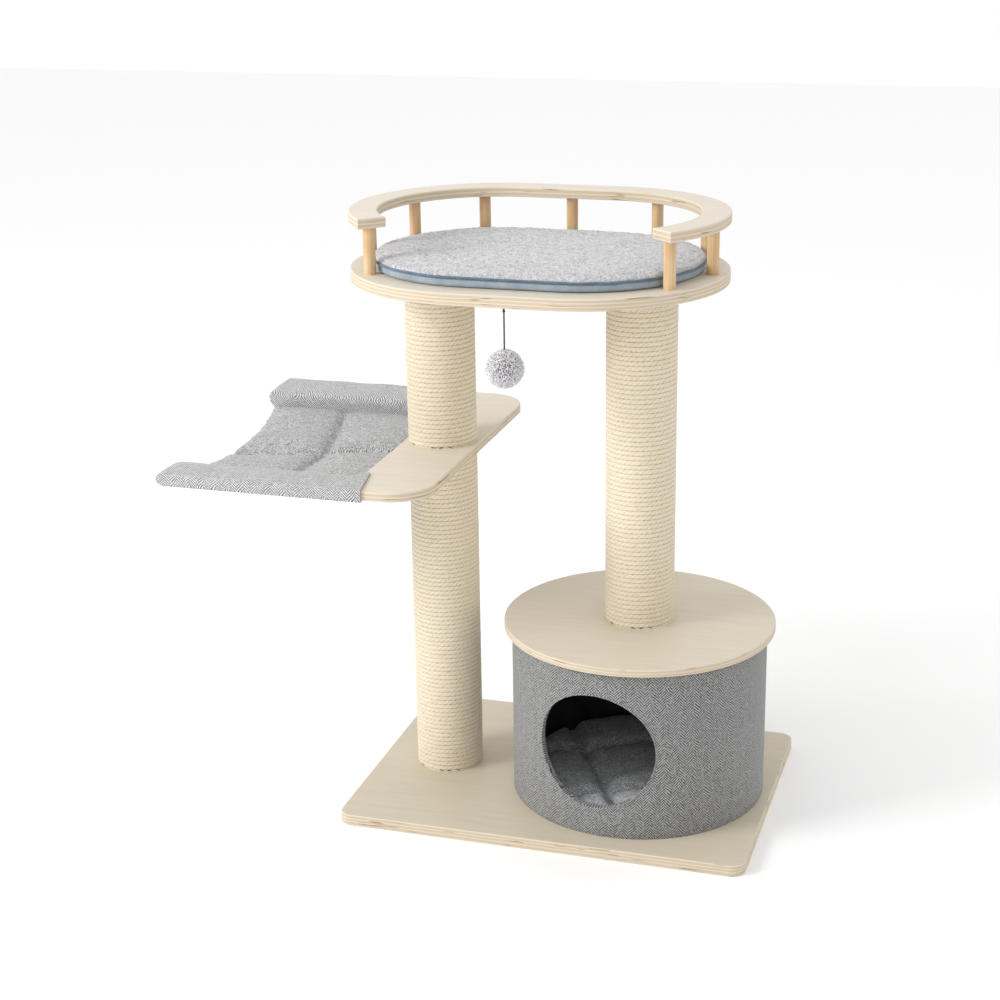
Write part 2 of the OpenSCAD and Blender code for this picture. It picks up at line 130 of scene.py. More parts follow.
def cut_away(obj, cutter, solver="EXACT"):
    """Cuts one closed mesh out of another, and removes the cutter."""
    modify(obj, "BOOLEAN", operation="DIFFERENCE", object=cutter, solver=solver)
    bpy.data.objects.remove(cutter)


def smooth(obj, angle=None):
    """Shades obj smooth: all over, or where its faces meet at less than an angle in degrees."""
    pick(obj)
    if angle:
        bpy.ops.object.shade_smooth_by_angle(angle=math.radians(angle))
    else:
        bpy.ops.object.shade_smooth()


def dress(obj, name, material, body, replaces=()):
    """Names a finished piece, gives it its material and its body, and hides the nodes that it stands for."""
    obj.name = obj.data.name = name
    obj.data.materials.clear()
    obj.data.materials.append(material)
    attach(obj, body)
    if replaces:
        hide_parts(*replaces)
    return obj


def repeat(template, name, placements):
    """One mesh with a copy of the template at each placement."""
    points = [v.co.copy() for v in template.data.vertices]
    faces = [tuple(p.vertices) for p in template.data.polygons]
    all_points, all_faces = [], []
    for placement in placements:
        start = len(all_points)
        all_points.extend(placement @ p for p in points)
        all_faces.extend(tuple(start + i for i in face) for face in faces)
    bpy.data.objects.remove(template)
    mesh = bpy.data.meshes.new(name)
    mesh.from_pydata(all_points, [], all_faces)
    obj = bpy.data.objects.new(name, mesh)
    bpy.context.collection.objects.link(obj)
    return obj


def new_material(name, colour, roughness, **sockets):
    """A material whose shader has these values on its own sockets."""
    material = bpy.data.materials.new(name)
    material.use_nodes = True
    shader = material.node_tree.nodes["Principled BSDF"]
    shader.inputs["Base Color"].default_value = hex_colour(colour)
    shader.inputs["Roughness"].default_value = roughness
    for socket, value in sockets.items():
        shader.inputs[socket.replace("_", " ").title()].default_value = value
    return material


def add_node(material, kind, inputs=(), out=0, **settings):
    """Adds a node with its settings, values and links, and returns one of its outputs."""
    node = material.node_tree.nodes.new("ShaderNode" + kind)
    for name, value in settings.items():
        setattr(node, name, value)
    for socket, value in dict(inputs).items():
        if isinstance(value, bpy.types.NodeSocket):
            material.node_tree.links.new(value, node.inputs[socket])
        else:
            node.inputs[socket].default_value = value
    return node.outputs[out]


def set_surface(material, colour=None, roughness=None, height=None, depth=0.3 * MM, strength=0.6):
    """Links a colour, a roughness and a bump of that depth to a material's shader."""
    tree = material.node_tree
    shader = tree.nodes["Principled BSDF"]
    if colour:
        tree.links.new(colour, shader.inputs["Base Color"])
    if roughness:
        tree.links.new(roughness, shader.inputs["Roughness"])
    if height:
        bump = add_node(material, "Bump", {"Height": height, "Distance": depth, "Strength": strength})
        tree.links.new(bump, shader.inputs["Normal"])


# ---------- camera and the toy's cord ----------

def make_camera():
    data = bpy.data.cameras.new("camera")
    data.lens = CAMERA_LENS
    camera = bpy.data.objects.new("camera", data)
    bpy.context.collection.objects.link(camera)
    turn = (Matrix.Rotation(FRONT_TURN, 4, "Z")
            @ Matrix.Rotation(math.pi / 2 - CAMERA_RISE, 4, "X")
            @ Matrix.Rotation(CAMERA_ROLL, 4, "Z"))
    camera.matrix_world = Matrix.Translation(CAMERA_PLACE) @ turn
    bpy.context.scene.camera = camera


make_camera()

# The cord's route, from under its knot to inside the pom-pom: offsets from the eye's place on
# the platform's underside
CORD_ROUTE = [
    (0, 0, -0.0117), (0, 0, -0.016), (0, 0, -0.020), (0, 0, -0.024), (0, 0, -0.028),
    (0, 0, -0.032), (0, 0, -0.036), (0, 0, -0.040), (0, 0, -0.044), (0, 0, -0.048),
    (0, 0, -0.052), (0, 0, -0.056), (0, 0, -0.058),
]
CORD_DIAMETER = 2 * MM
EYE_LOW, EYE_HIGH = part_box("toy_eye")
UNDER_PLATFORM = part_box("top_platform")[0].z
TOY_PLACE = Vector(((EYE_LOW.x + EYE_HIGH.x) / 2, (EYE_LOW.y + EYE_HIGH.y) / 2, UNDER_PLATFORM))


def make_cord():
    data = bpy.data.curves.new("toy_cord_line", "CURVE")
    data.dimensions = "3D"
    data.bevel_depth = CORD_DIAMETER / 2
    data.bevel_resolution = 4
    data.use_fill_caps = True
    spline = data.splines.new("POLY")
    spline.points.add(len(CORD_ROUTE) - 1)
    for point, offset in zip(spline.points, CORD_ROUTE):
        point.co = (*(TOY_PLACE + Vector(offset)), 1)
    cord = bpy.data.objects.new("toy_cord_line", data)
    bpy.context.collection.objects.link(cord)
    return cord


toy_cord = make_cord()


# ---------- materials ----------

def birch_plywood(name, node, plies, face="#D8CFC0", figure="#CDC1AD", edge="#DAD0C1", cross="#CEC0A9"):
    """Birch plywood, sanded and clear-lacquered: a pale satin face with long soft figure, and an
    edge of light long-grain and darker end-grain plies with thin brown glue lines, and a few gaps painted
    dark as shade."""
    low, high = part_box(node)
    material = new_material(name, face, 0.5, coat_weight=0.08, coat_roughness=0.35)
    place = add_node(material, "TexCoord", out=3)
    normal = add_node(material, "TexCoord", out=1)
    # Growth figure: bands about 8 mm wide and 100 mm long, along the board; pores about 0.6 mm wide
    long_way = add_node(material, "Mapping", {0: place, 3: (5, 60, 60)})
    bands = add_node(material, "TexNoise", {0: long_way, "Scale": 2, "Detail": 5, "Distortion": 0.6})
    pores = add_node(material, "Mapping", {0: place, 3: (120, 1800, 200)})
    pores = add_node(material, "TexNoise", {0: pores, "Scale": 1, "Detail": 2})
    band_share = add_node(material, "MapRange", {0: bands, 1: 0.35, 2: 0.75, 3: 0, 4: 0.55})
    veneer = add_node(material, "Mix", {0: band_share, 6: hex_colour(face), 7: hex_colour(figure)},
                      out=2, data_type="RGBA")
    pore_share = add_node(material, "MapRange", {0: pores, 1: 0.55, 2: 0.8, 3: 0, 4: 0.12})
    veneer = add_node(material, "Mix", {0: pore_share, 6: veneer, 7: hex_colour(cross)},
                      out=2, data_type="RGBA")
    # Plies: which ply a point is in, from its height in the board
    height = add_node(material, "SeparateXYZ", {0: place}, out=2)
    wander = add_node(material, "TexNoise", {0: place, "Scale": 18, "Detail": 2})
    wander = add_node(material, "MapRange", {0: wander, 1: 0, 2: 1, 3: -0.18, 4: 0.18})
    per_metre = plies / (high.z - low.z)
    layer = add_node(material, "Math", {0: height, 1: per_metre, 2: -low.z * per_metre},
                     operation="MULTIPLY_ADD")
    layer = add_node(material, "Math", {0: layer, 1: wander}, operation="ADD")
    odd = add_node(material, "Math", {0: add_node(material, "Math", {0: layer}, operation="FLOOR"), 1: 2},
                   operation="FLOORED_MODULO")
    streaks = add_node(material, "Mapping", {0: place, 3: (14, 14, 900)})
    streaks = add_node(material, "TexNoise", {0: streaks, "Scale": 1, "Detail": 3})
    light_ply = add_node(material, "Mix", {0: streaks, 6: hex_colour(cross), 7: hex_colour(edge)},
                         out=2, data_type="RGBA")
    dark_ply = add_node(material, "Mix", {0: streaks, 6: hex_colour("#BFAB8B"), 7: hex_colour(cross)},
                        out=2, data_type="RGBA")
    edge_colour = add_node(material, "Mix", {0: odd, 6: light_ply, 7: dark_ply}, out=2, data_type="RGBA")
    to_glue = add_node(material, "Math", {0: layer, 1: 0.5}, operation="PINGPONG")
    glue = add_node(material, "MapRange", {0: to_glue, 1: 0.03, 2: 0.11, 3: 0.5, 4: 0})
    edge_colour = add_node(material, "Mix", {0: glue, 6: edge_colour, 7: hex_colour("#9B7A52")},
                           out=2, data_type="RGBA")
    gap_place = add_node(material, "Mapping", {0: place, 3: (22, 22, 420)})
    gaps = add_node(material, "TexNoise", {0: gap_place, "Scale": 1, "Detail": 1})
    gap_shade_share = add_node(material, "MapRange", {0: gaps, 1: 0.66, 2: 0.72, 3: 0, 4: 0.75})
    # Painted shade: a few open gaps in the ply edge are drawn as dark brown marks.
    edge_colour = add_node(material, "Mix", {0: gap_shade_share, 6: edge_colour, 7: hex_colour("#7E5A39")},
                           out=2, data_type="RGBA")
    upright = add_node(material, "Math", {0: add_node(material, "SeparateXYZ", {0: normal}, out=2)},
                       operation="ABSOLUTE")
    on_face = add_node(material, "MapRange", {0: upright, 1: 0.55, 2: 0.85, 3: 0, 4: 1})
    colour = add_node(material, "Mix", {0: on_face, 6: edge_colour, 7: veneer}, out=2, data_type="RGBA")
    rough = add_node(material, "MapRange", {0: on_face, 1: 0, 2: 1, 3: 0.72, 4: 0.5})
    relief = add_node(material, "Math", {0: pores, 1: streaks}, operation="ADD")
    set_surface(material, colour, rough, relief, depth=0.12 * MM, strength=0.35)
    return material


def turned_beech():
    """Beech dowel, turned and lacquered: warm honey, with straight grain up its length, drawn about
    2.4 mm wide so that it shows."""
    material = new_material("turned_beech", "#CFAE82", 0.45, coat_weight=0.1, coat_roughness=0.3)
    place = add_node(material, "TexCoord", out=3)
    grain = add_node(material, "Mapping", {0: place, 3: (420, 420, 9)})
    grain = add_node(material, "TexNoise", {0: grain, "Scale": 1, "Detail": 4})
    broad = add_node(material, "TexNoise", {0: place, "Scale": 26, "Detail": 1})
    share = add_node(material, "Math", {0: grain, 1: broad}, operation="MULTIPLY")
    share = add_node(material, "MapRange", {0: share, 1: 0.12, 2: 0.42, 3: 0, 4: 1})
    colour = add_node(material, "Mix", {0: share, 6: hex_colour("#BD9668"), 7: hex_colour("#D9BC92")},
                      out=2, data_type="RGBA")
    set_surface(material, colour, None, grain, depth=0.1 * MM, strength=0.3)
    return material


def sisal_rope():
    """Twisted sisal: matt straw fibres, about 0.7 mm wide and 11 mm long, that lie along the rope,
    with painted shade between turns and between strands, and bark specks 2 to 4 mm long."""
    material = new_material("twisted_sisal", "#E8D8B4", 0.85, sheen_weight=0.15, sheen_roughness=0.6)
    along = add_node(material, "TexCoord", out=2)
    painted_hollow_shade = add_node(material, "Attribute", out=2, attribute_name="painted_hollow_shade")
    fibre_place = add_node(material, "Mapping", {0: along, 3: (90, 1500, 1)})
    fibres = add_node(material, "TexNoise", {0: fibre_place, "Scale": 1, "Detail": 3}, noise_dimensions="2D")
    patch_place = add_node(material, "Mapping", {0: along, 3: (14, 60, 1)})
    patches = add_node(material, "TexNoise", {0: patch_place, "Scale": 1, "Detail": 2}, noise_dimensions="2D")
    straw = add_node(material, "Mix", {0: fibres, 6: hex_colour("#CFC0A3"), 7: hex_colour("#F3ECDB")},
                     out=2, data_type="RGBA")
    warm = add_node(material, "MapRange", {0: patches, 1: 0.4, 2: 0.75, 3: 0, 4: 0.45})
    straw = add_node(material, "Mix", {0: warm, 6: straw, 7: hex_colour("#DECDAA")}, out=2, data_type="RGBA")
    # Painted shade: the grooves between strands and the valleys between turns are mixed towards a darker
    # straw.
    shade = add_node(material, "MapRange", {0: painted_hollow_shade, 1: 0.2, 2: 1, 3: 0, 4: 0.6})
    straw = add_node(material, "Mix", {0: shade, 6: straw, 7: hex_colour("#A08A66")}, out=2, data_type="RGBA")
    speck_place = add_node(material, "Mapping", {0: along, 3: (260, 620, 1)})
    specks = add_node(material, "TexNoise", {0: speck_place, "Scale": 1, "Detail": 0}, noise_dimensions="2D")
    speck_share = add_node(material, "MapRange", {0: specks, 1: 0.8, 2: 0.86, 3: 0, 4: 0.8})
    colour = add_node(material, "Mix", {0: speck_share, 6: straw, 7: hex_colour("#6E5232")},
                      out=2, data_type="RGBA")
    set_surface(material, colour, None, fibres, depth=0.35 * MM, strength=0.7)
    return material


def kraft_board():
    """Spiral-wound brown board tube: matt, with flecks about 1.5 mm across."""
    material = new_material("kraft_board", "#A98A62", 0.9)
    place = add_node(material, "TexCoord", out=3)
    flecks = add_node(material, "TexNoise", {0: place, "Scale": 700, "Detail": 3})
    colour = add_node(material, "Mix", {0: flecks, 6: hex_colour("#8F7350"), 7: hex_colour("#BDA078")},
                      out=2, data_type="RGBA")
    set_surface(material, colour, None, flecks, depth=0.1 * MM)
    return material


def zinc_steel():
    """Zinc-plated steel: cool, bright and slightly clouded, in patches about 3 mm across."""
    material = new_material("zinc_plated_steel", "#B9BDC2", 0.32, metallic=1)
    place = add_node(material, "TexCoord", out=3)
    cloud = add_node(material, "TexNoise", {0: place, "Scale": 350, "Detail": 3})
    rough = add_node(material, "MapRange", {0: cloud, 1: 0.3, 2: 0.7, 3: 0.25, 4: 0.42})
    colour = add_node(material, "Mix", {0: cloud, 6: hex_colour("#A9ADB2"), 7: hex_colour("#C8CBCE")},
                      out=2, data_type="RGBA")
    set_surface(material, colour, rough)
    return material


def cloth_ways(material, kind):
    """The two directions over a cloth, in metres: round and up a drum, over an arm, or over a flat."""
    place = add_node(material, "TexCoord", out=3)
    if kind == "drum":
        place = add_node(material, "Mapping", {0: place, 1: (-RIGHT_AXIS.x, -RIGHT_AXIS.y, 0)})
    parts = [add_node(material, "SeparateXYZ", {0: place}, out=i) for i in range(3)]
    if kind == "drum":  # the angle is 0 at the front, so its jump is at the seam behind
        forward = add_node(material, "Math", {0: parts[1], 1: -1}, operation="MULTIPLY")
        angle = add_node(material, "Math", {0: parts[0], 1: forward}, operation="ARCTAN2")
        round_drum = add_node(material, "Math", {0: angle, 1: CONDO_RADIUS}, operation="MULTIPLY")
        return round_drum, parts[2]
    if kind == "arm":  # one length over the top and down the sides
        out = add_node(material, "Math", {0: parts[1]}, operation="ABSOLUTE")
        return parts[0], add_node(material, "Math", {0: out, 1: parts[2]}, operation="SUBTRACT")
    return parts[0], parts[1]


def woven_cloth(name, kind, dark, light, column=9 * MM, stroke=3.7 * MM, contrast=0.8, depth=0.35 * MM):
    """Herringbone upholstery cloth of mixed grey yarn: matt, with slanting strokes that turn from
    column to column. The real strokes are about 1.8 mm apart, and are drawn wider so that they show.
    The yarn's flecks are about 2 mm across and its slubs about 8 mm."""
    material = new_material(name, light, 0.92, sheen_weight=0.2, sheen_roughness=0.5)
    across, along = cloth_ways(material, kind)
    place = add_node(material, "TexCoord", out=3)
    wobble = add_node(material, "TexNoise", {0: place, "Scale": 70, "Detail": 2})
    along = add_node(material, "Math", {0: wobble, 1: 4 * MM, 2: along}, operation="MULTIPLY_ADD")
    columns = add_node(material, "Math", {0: wobble, 1: 3 * MM, 2: across}, operation="MULTIPLY_ADD")
    columns = add_node(material, "Math", {0: columns, 1: 1 / column}, operation="MULTIPLY")
    zigzag = add_node(material, "Math", {0: columns, 1: 1}, operation="PINGPONG")
    jog = add_node(material, "Math", {0: columns}, operation="FLOOR")
    slant = add_node(material, "Math", {0: zigzag, 1: column / stroke}, operation="MULTIPLY")
    turns = add_node(material, "Math", {0: along, 1: 1 / stroke, 2: slant}, operation="MULTIPLY_ADD")
    turns = add_node(material, "Math", {0: jog, 1: 0.5, 2: turns}, operation="MULTIPLY_ADD")
    wave = add_node(material, "Math", {0: turns, 1: 0.5}, operation="PINGPONG")
    raised = add_node(material, "MapRange", {0: wave, 1: 0.12, 2: 0.36, 3: 0, 4: 1})
    yarn = add_node(material, "TexNoise", {0: place, "Scale": 460, "Detail": 2})
    slub = add_node(material, "TexNoise", {0: place, "Scale": 120, "Detail": 3})
    mixed = add_node(material, "Math", {0: yarn, 1: slub}, operation="ADD")
    mixed = add_node(material, "MapRange", {0: mixed, 1: 0.7, 2: 1.3, 3: 0, 4: 1})
    weave = add_node(material, "Math", {0: raised, 1: contrast}, operation="MULTIPLY")
    share = add_node(material, "Math", {0: mixed, 1: 1 - contrast, 2: weave}, operation="MULTIPLY_ADD")
    fleck = add_node(material, "MapRange", {0: yarn, 1: 0.35, 2: 0.65, 3: -0.3, 4: 0.3})
    share = add_node(material, "Math", {0: share, 1: fleck}, operation="ADD", use_clamp=True)
    colour = add_node(material, "Mix", {0: share, 6: hex_colour(dark), 7: hex_colour(light)},
                      out=2, data_type="RGBA")
    relief = add_node(material, "Math", {0: yarn, 1: 0.5, 2: raised}, operation="MULTIPLY_ADD")
    set_surface(material, colour, None, relief, depth=depth, strength=0.7)
    return material


def plush_pile():
    """Short curled plush: soft pale grey knots of pile about 2 mm across, with painted shade between
    them, and a strong sheen."""
    material = new_material("short_plush", "#CFCED0", 0.95, sheen_weight=0.5, sheen_roughness=0.4)
    place = add_node(material, "TexCoord", out=3)
    knots = add_node(material, "TexNoise", {0: place, "Scale": 480, "Detail": 2, "Distortion": 0.3})
    drift = add_node(material, "TexNoise", {0: place, "Scale": 95, "Detail": 3})
    share = add_node(material, "Math", {0: drift, 1: 0.35, 2: knots}, operation="MULTIPLY_ADD")
    share = add_node(material, "MapRange", {0: share, 1: 0.5, 2: 0.82, 3: 0, 4: 1})
    # The darker grey falls between the knots as painted shade, and in broad drifts of random tone.
    colour = add_node(material, "Mix", {0: share, 6: hex_colour("#94949A"), 7: hex_colour("#CECECE")},
                      out=2, data_type="RGBA")
    set_surface(material, colour, None, knots, depth=1.2 * MM, strength=0.8)
    return material


def plain_weave(name, dark, light):
    """Plain-woven polyester: smooth and dull, with a thread drawn about 1 mm thick so that it shows."""
    material = new_material(name, light, 0.8, sheen_weight=0.25, sheen_roughness=0.4)
    place = add_node(material, "TexCoord", out=3)
    threads = add_node(material, "TexNoise", {0: place, "Scale": 900, "Detail": 1})
    soft = add_node(material, "TexNoise", {0: place, "Scale": 55, "Detail": 3})
    share = add_node(material, "Math", {0: threads, 1: soft}, operation="MULTIPLY")
    share = add_node(material, "MapRange", {0: share, 1: 0.12, 2: 0.4, 3: 0, 4: 1})
    colour = add_node(material, "Mix", {0: share, 6: hex_colour(dark), 7: hex_colour(light)},
                      out=2, data_type="RGBA")
    set_surface(material, colour, None, threads, depth=0.2 * MM)
    return material


def pompom_yarn():
    """Fluffy acrylic yarn: pale lavender grey, matt, in patches about 4 mm across, with a strong sheen."""
    material = new_material("fluffy_yarn", "#C4C1CB", 0.95, sheen_weight=0.6, sheen_roughness=0.35)
    place = add_node(material, "TexCoord", out=3)
    tufts = add_node(material, "TexNoise", {0: place, "Scale": 260, "Detail": 2})
    share = add_node(material, "MapRange", {0: tufts, 1: 0.3, 2: 0.7, 3: 0, 4: 1})
    colour = add_node(material, "Mix", {0: share, 6: hex_colour("#D6D4DA"), 7: hex_colour("#F8F7F9")},
                      out=2, data_type="RGBA")
    set_surface(material, colour, None, tufts, depth=0.4 * MM)
    return material


def braided_cord():
    """Thin braided polyester cord: near black, with slanting strands of two greys."""
    material = new_material("braided_cord", "#3A3A3E", 0.6)
    place = add_node(material, "TexCoord", out=3)
    braid = add_node(material, "TexWave", {0: place, "Scale": 260, "Distortion": 1.5},
                     wave_type="BANDS", bands_direction="DIAGONAL")
    colour = add_node(material, "Mix", {0: braid, 6: hex_colour("#2B2B2F"), 7: hex_colour("#4A4A50")},
                      out=2, data_type="RGBA")
    set_surface(material, colour, None, braid, depth=0.15 * MM)
    return material


PLYWOOD = {
    # Painted shade: the base's and the lid's face and figure colours are darker copies of the birch on the
    # other boards, standing in for the shade under the boards above.
    "base_board": birch_plywood("birch_plywood_base_painted_shade", "base_board", 7, "#CAC0AC", "#C0B49D"),
    "condo_lid": birch_plywood("birch_plywood_lid_painted_shade", "condo_lid", 5, "#CFC5B3", "#C5B9A4"),
    "hammock_board": birch_plywood("birch_plywood_hammock", "hammock_board", 5),
    "top_platform": birch_plywood("birch_plywood_platform", "top_platform", 7),
    "safety_rail": birch_plywood("birch_plywood_rail", "safety_rail", 5),
}
RING_WOOD = birch_plywood("birch_plywood_rings", "condo_top_ring", 5)
BEECH = turned_beech()
SISAL = sisal_rope()
KRAFT = kraft_board()
ZINC = zinc_steel()
DRUM_CLOTH = woven_cloth("herringbone_drum", "drum", "#34363A", "#A6A6A4", contrast=0.9)
SLEEVE_CLOTH = woven_cloth("herringbone_sleeve", "arm", "#3E4043", "#DADBDC", contrast=0.95)
SEAT_CLOTH = woven_cloth("herringbone_seat", "arm", "#5A5C5F", "#CDCECF", contrast=0.6)
CONDO_CLOTH = woven_cloth("herringbone_cushion", "flat", "#7C8185", "#D2D5D8", contrast=0.45)
# Painted shade: the lining cloth is made near black to stand in for the condo's dark, unlit inside.
LINING_PAINTED_SHADE = plain_weave("lining_painted_dark_shade", "#1D1E21", "#333539")
PLUSH = plush_pile()
BAND = plain_weave("blue_grey_band", "#8795A1", "#A3AFB9")
PIPING = plain_weave("slate_piping", "#4A5C6D", "#687C8D")
YARN = pompom_yarn()
CORD = braided_cord()
STRAW = new_material("loose_sisal_fibre", "#CFC09C", 0.7)
THREAD = plain_weave("grey_thread", "#8E9196", "#B9BBBE")
STAPLE_STEEL = new_material("browned_steel_wire", "#5E4634", 0.5, metallic=0.4)


# ---------- boards ----------

SANDED_RADIUS = 1.5 * MM
RAIL_SANDED_RADIUS = 1.8 * MM
BOLT_REACH = 20 * MM        # how far a fixing's edges, which stay sharp, are from its axis
PEG_REACH = 8 * MM
EYE_REACH = 4 * MM


def sand_board(node, radius, fixings):
    """A CAD board with its outer edges sanded round. A fixing is a hole's axis and a reach round it."""
    low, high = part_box(node)
    board = bpy.data.objects.new(node + "_sanded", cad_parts[node].data.copy())
    bpy.context.collection.objects.link(board)
    open_mesh(board)
    bpy.ops.mesh.remove_doubles(threshold=0.01 * MM)
    bpy.ops.mesh.dissolve_limited(angle_limit=math.radians(1))
    close_mesh()

    def on_outline(edge):
        middle = (edge.verts[0].co + edge.verts[1].co) / 2
        on_face = min(abs(middle.z - low.z), abs(middle.z - high.z)) < 0.05 * MM
        if not on_face or len(edge.link_faces) != 2 or edge.calc_face_angle(0) < math.radians(45):
            return False
        return all(math.hypot(middle.x - x, middle.y - y) > reach for x, y, reach in fixings)

    edit(board, bpy.ops.mesh.bevel, "EDGE", on_outline,
         offset=radius, segments=3, affect="EDGES", clamp_overlap=False)
    smooth(board, 30)
    modify(board, "WEIGHTED_NORMAL", keep_sharp=True)
    dress(board, node + "_sanded", PLYWOOD[node], "frame", [node])


posts = [(LEFT_AXIS.x, LEFT_AXIS.y, BOLT_REACH), (RIGHT_AXIS.x, RIGHT_AXIS.y, BOLT_REACH)]
pegs = []
for number in range(1, 10):
    peg_low, peg_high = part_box(f"rail_peg_{number}")
    pegs.append(((peg_low.x + peg_high.x) / 2, (peg_low.y + peg_high.y) / 2, PEG_REACH))
screws = [(RIGHT_AXIS.x, RIGHT_AXIS.y, CONDO_RADIUS)]
toy_hole = [(TOY_PLACE.x, TOY_PLACE.y, EYE_REACH)]

sand_board("base_board", SANDED_RADIUS, posts[:1] + screws)
sand_board("condo_lid", SANDED_RADIUS, screws)
sand_board("hammock_board", SANDED_RADIUS, posts[:1])
sand_board("top_platform", SANDED_RADIUS, posts + pegs + toy_hole)
sand_board("safety_rail", RAIL_SANDED_RADIUS, pegs)

for node, material in {
    "condo_bottom_ring": RING_WOOD, "condo_top_ring": RING_WOOD,
    "right_post_plugs": BEECH, "left_lower_post_plugs": BEECH, "left_upper_post_plugs": BEECH,
    "right_post_core": KRAFT, "left_lower_post_core": KRAFT, "left_upper_post_core": KRAFT,
    "condo_shell": KRAFT, "post_inserts": ZINC, "base_bolt": ZINC, "lid_bolt": ZINC,
    "joining_stud": ZINC, "platform_bolts": ZINC, "washers": ZINC, "condo_base_screws": ZINC,
    "condo_lid_screws": ZINC, "toy_eye": ZINC, "toy_loop": CORD,
    **{f"rail_peg_{number}": BEECH for number in range(1, 10)},
}.items():
    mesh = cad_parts[node].data
    mesh.materials.clear()
    mesh.materials.append(material)


# ---------- wound rope ----------

ROPE_DIAMETER = POST_RADIUS - CORE_RADIUS
ROPE_STRANDS = 3
ROPE_LAY = 19 * MM          # length in which a strand goes once round the rope
STRAND_GROOVE = 1.05 * MM   # its depth between two strands
STRAND_SLACK = 0.25 * MM    # how far a strand wanders in or out
ROPE_PRESS = 0.55           # how much of the valley between two turns is pressed full
STEPS_PER_TURN = 176


def wind_rope(node, name, seed):
    """A rope wound tight round a post: one turn's outer half, screwed up the post, with the strands'
    twist worked into it, then cut level at both ends and bored to the core."""
    low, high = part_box(node)
    axis = Vector(((low.x + high.x) / 2, (low.y + high.y) / 2, 0))
    radius = ROPE_DIAMETER / 2
    centre = POST_RADIUS - radius
    pitch = ROPE_DIAMETER
    turns = math.ceil((high.z - low.z) / pitch) + 2
    bpy.ops.mesh.primitive_circle_add(vertices=14, radius=radius, rotation=(math.pi / 2, 0, 0),
                                      location=(centre, 0, 0))
    rope = bpy.context.object
    apply_place(rope)
    edit(rope, bpy.ops.mesh.delete, "VERT", lambda point: point.co.x < centre - 0.1 * radius, type="VERT")
    modify(rope, "SCREW", axis="Z", screw_offset=pitch, iterations=turns, steps=STEPS_PER_TURN,
           render_steps=STEPS_PER_TURN, use_normal_calculate=True)
    edit(rope, bpy.ops.mesh.remove_doubles, threshold=0.01 * MM)

    def on_rope(co, near):
        """How far along the rope and round its section a point is, for the turn nearest to near."""
        turn = math.atan2(co.y, co.x) / (2 * math.pi)
        turn += round((near.z / pitch) - math.atan2(near.y, near.x) / (2 * math.pi))
        if abs(math.atan2(co.y, co.x) - math.atan2(near.y, near.x)) > math.pi:
            turn += math.copysign(1, math.atan2(near.y, near.x))
        rise = (co.z - pitch * turn) / radius
        return turn * 2 * math.pi * centre, math.asin(max(-1, min(1, rise)))

    painted_shade_amounts = []
    places = []
    for point in rope.data.vertices:
        way, angle = on_rope(point.co, point.co)
        twist = ROPE_STRANDS / 2 * (angle - 2 * math.pi * way / ROPE_LAY)
        groove = 1 - abs(math.cos(twist)) ** 0.7
        loose = noise.noise(Vector((way / (9 * MM), angle, seed))) * STRAND_SLACK
        push = -STRAND_GROOVE * groove + loose
        outward = Vector((point.co.x, point.co.y, 0)).normalized()
        press = ROPE_PRESS * radius * math.sin(angle) ** 2
        places.append(point.co + outward * (math.cos(angle) * push + press)
                      + Vector((0, 0, 1)) * math.sin(angle) * push * 0.5)
        # Painted shade: how deep a point lies in a groove between strands or towards the valley between
        # turns.
        painted_shade_amounts.append(0.8 * groove + 0.4 * (1 - math.cos(angle)))
    painted_shade_layer = rope.data.attributes.new("painted_hollow_shade", "FLOAT", "POINT")
    painted_shade_layer.data.foreach_set("value", painted_shade_amounts)
    layer = rope.data.uv_layers.new(name="along_rope")
    for face in rope.data.polygons:
        for corner in face.loop_indices:
            co = rope.data.vertices[rope.data.loops[corner].vertex_index].co
            way, angle = on_rope(co, face.center)
            layer.data[corner].uv = (way, angle * radius)
    for point, place in zip(rope.data.vertices, places):
        point.co = place
    shift = axis + Vector((0, 0, low.z - pitch))
    reshape(rope, lambda co: co + shift)
    for level, side in ((low.z, -1), (high.z, 1)):
        edit(rope, bpy.ops.mesh.bisect, plane_co=(0, 0, level), plane_no=(0, 0, side),
             clear_outer=True, use_fill=True)
    bpy.ops.mesh.primitive_cylinder_add(vertices=96, radius=CORE_RADIUS, depth=high.z - low.z + 0.02,
                                        location=(axis.x, axis.y, (low.z + high.z) / 2))
    cut_away(rope, bpy.context.object, solver="FAST")
    smooth(rope, 50)
    dress(rope, name, SISAL, "frame", [node])


wind_rope("right_post_rope", "right_post_winding", 1)
wind_rope("left_lower_post_rope", "left_lower_post_winding", 2)
wind_rope("left_upper_post_rope", "left_upper_post_winding", 3)


def add_staples():
    """Steel staples that hold each winding's ends, four round the front of every post end."""
    wire, width, from_end = 0.7 * MM, 5 * MM, 1.4 * MM
    turns_and_tips = ((0.05, 0.1), (0.27, -0.15), (0.55, 0.3), (-0.7, 0.2))
    bpy.ops.mesh.primitive_cube_add(size=1)
    staple = bpy.context.object
    staple.scale = (width, wire, wire)
    apply_place(staple)
    edit(staple, bpy.ops.mesh.inset, "FACE", lambda face: abs(face.normal.x) > 0.9,
         thickness=0.01 * MM, depth=0)
    modify(staple, "BEVEL", width=0.2 * MM, segments=2, limit_method="ANGLE")
    places = []
    for node in ("right_post_rope", "left_lower_post_rope", "left_upper_post_rope"):
        low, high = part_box(node)
        x, y = (low.x + high.x) / 2, (low.y + high.y) / 2
        for level in (low.z + from_end, high.z - from_end):
            for turn, tip in turns_and_tips:
                out = Matrix.Rotation(turn, 4, "Z") @ Vector((0, -(POST_RADIUS - 0.3 * wire), 0))
                places.append(Matrix.Translation((x + out.x, y + out.y, level))
                              @ Matrix.Rotation(turn, 4, "Z") @ Matrix.Rotation(tip, 4, "Y"))
    staples = repeat(staple, "rope_staples", places)
    dress(staples, "rope_staples", STAPLE_STEEL, "frame")


add_staples()


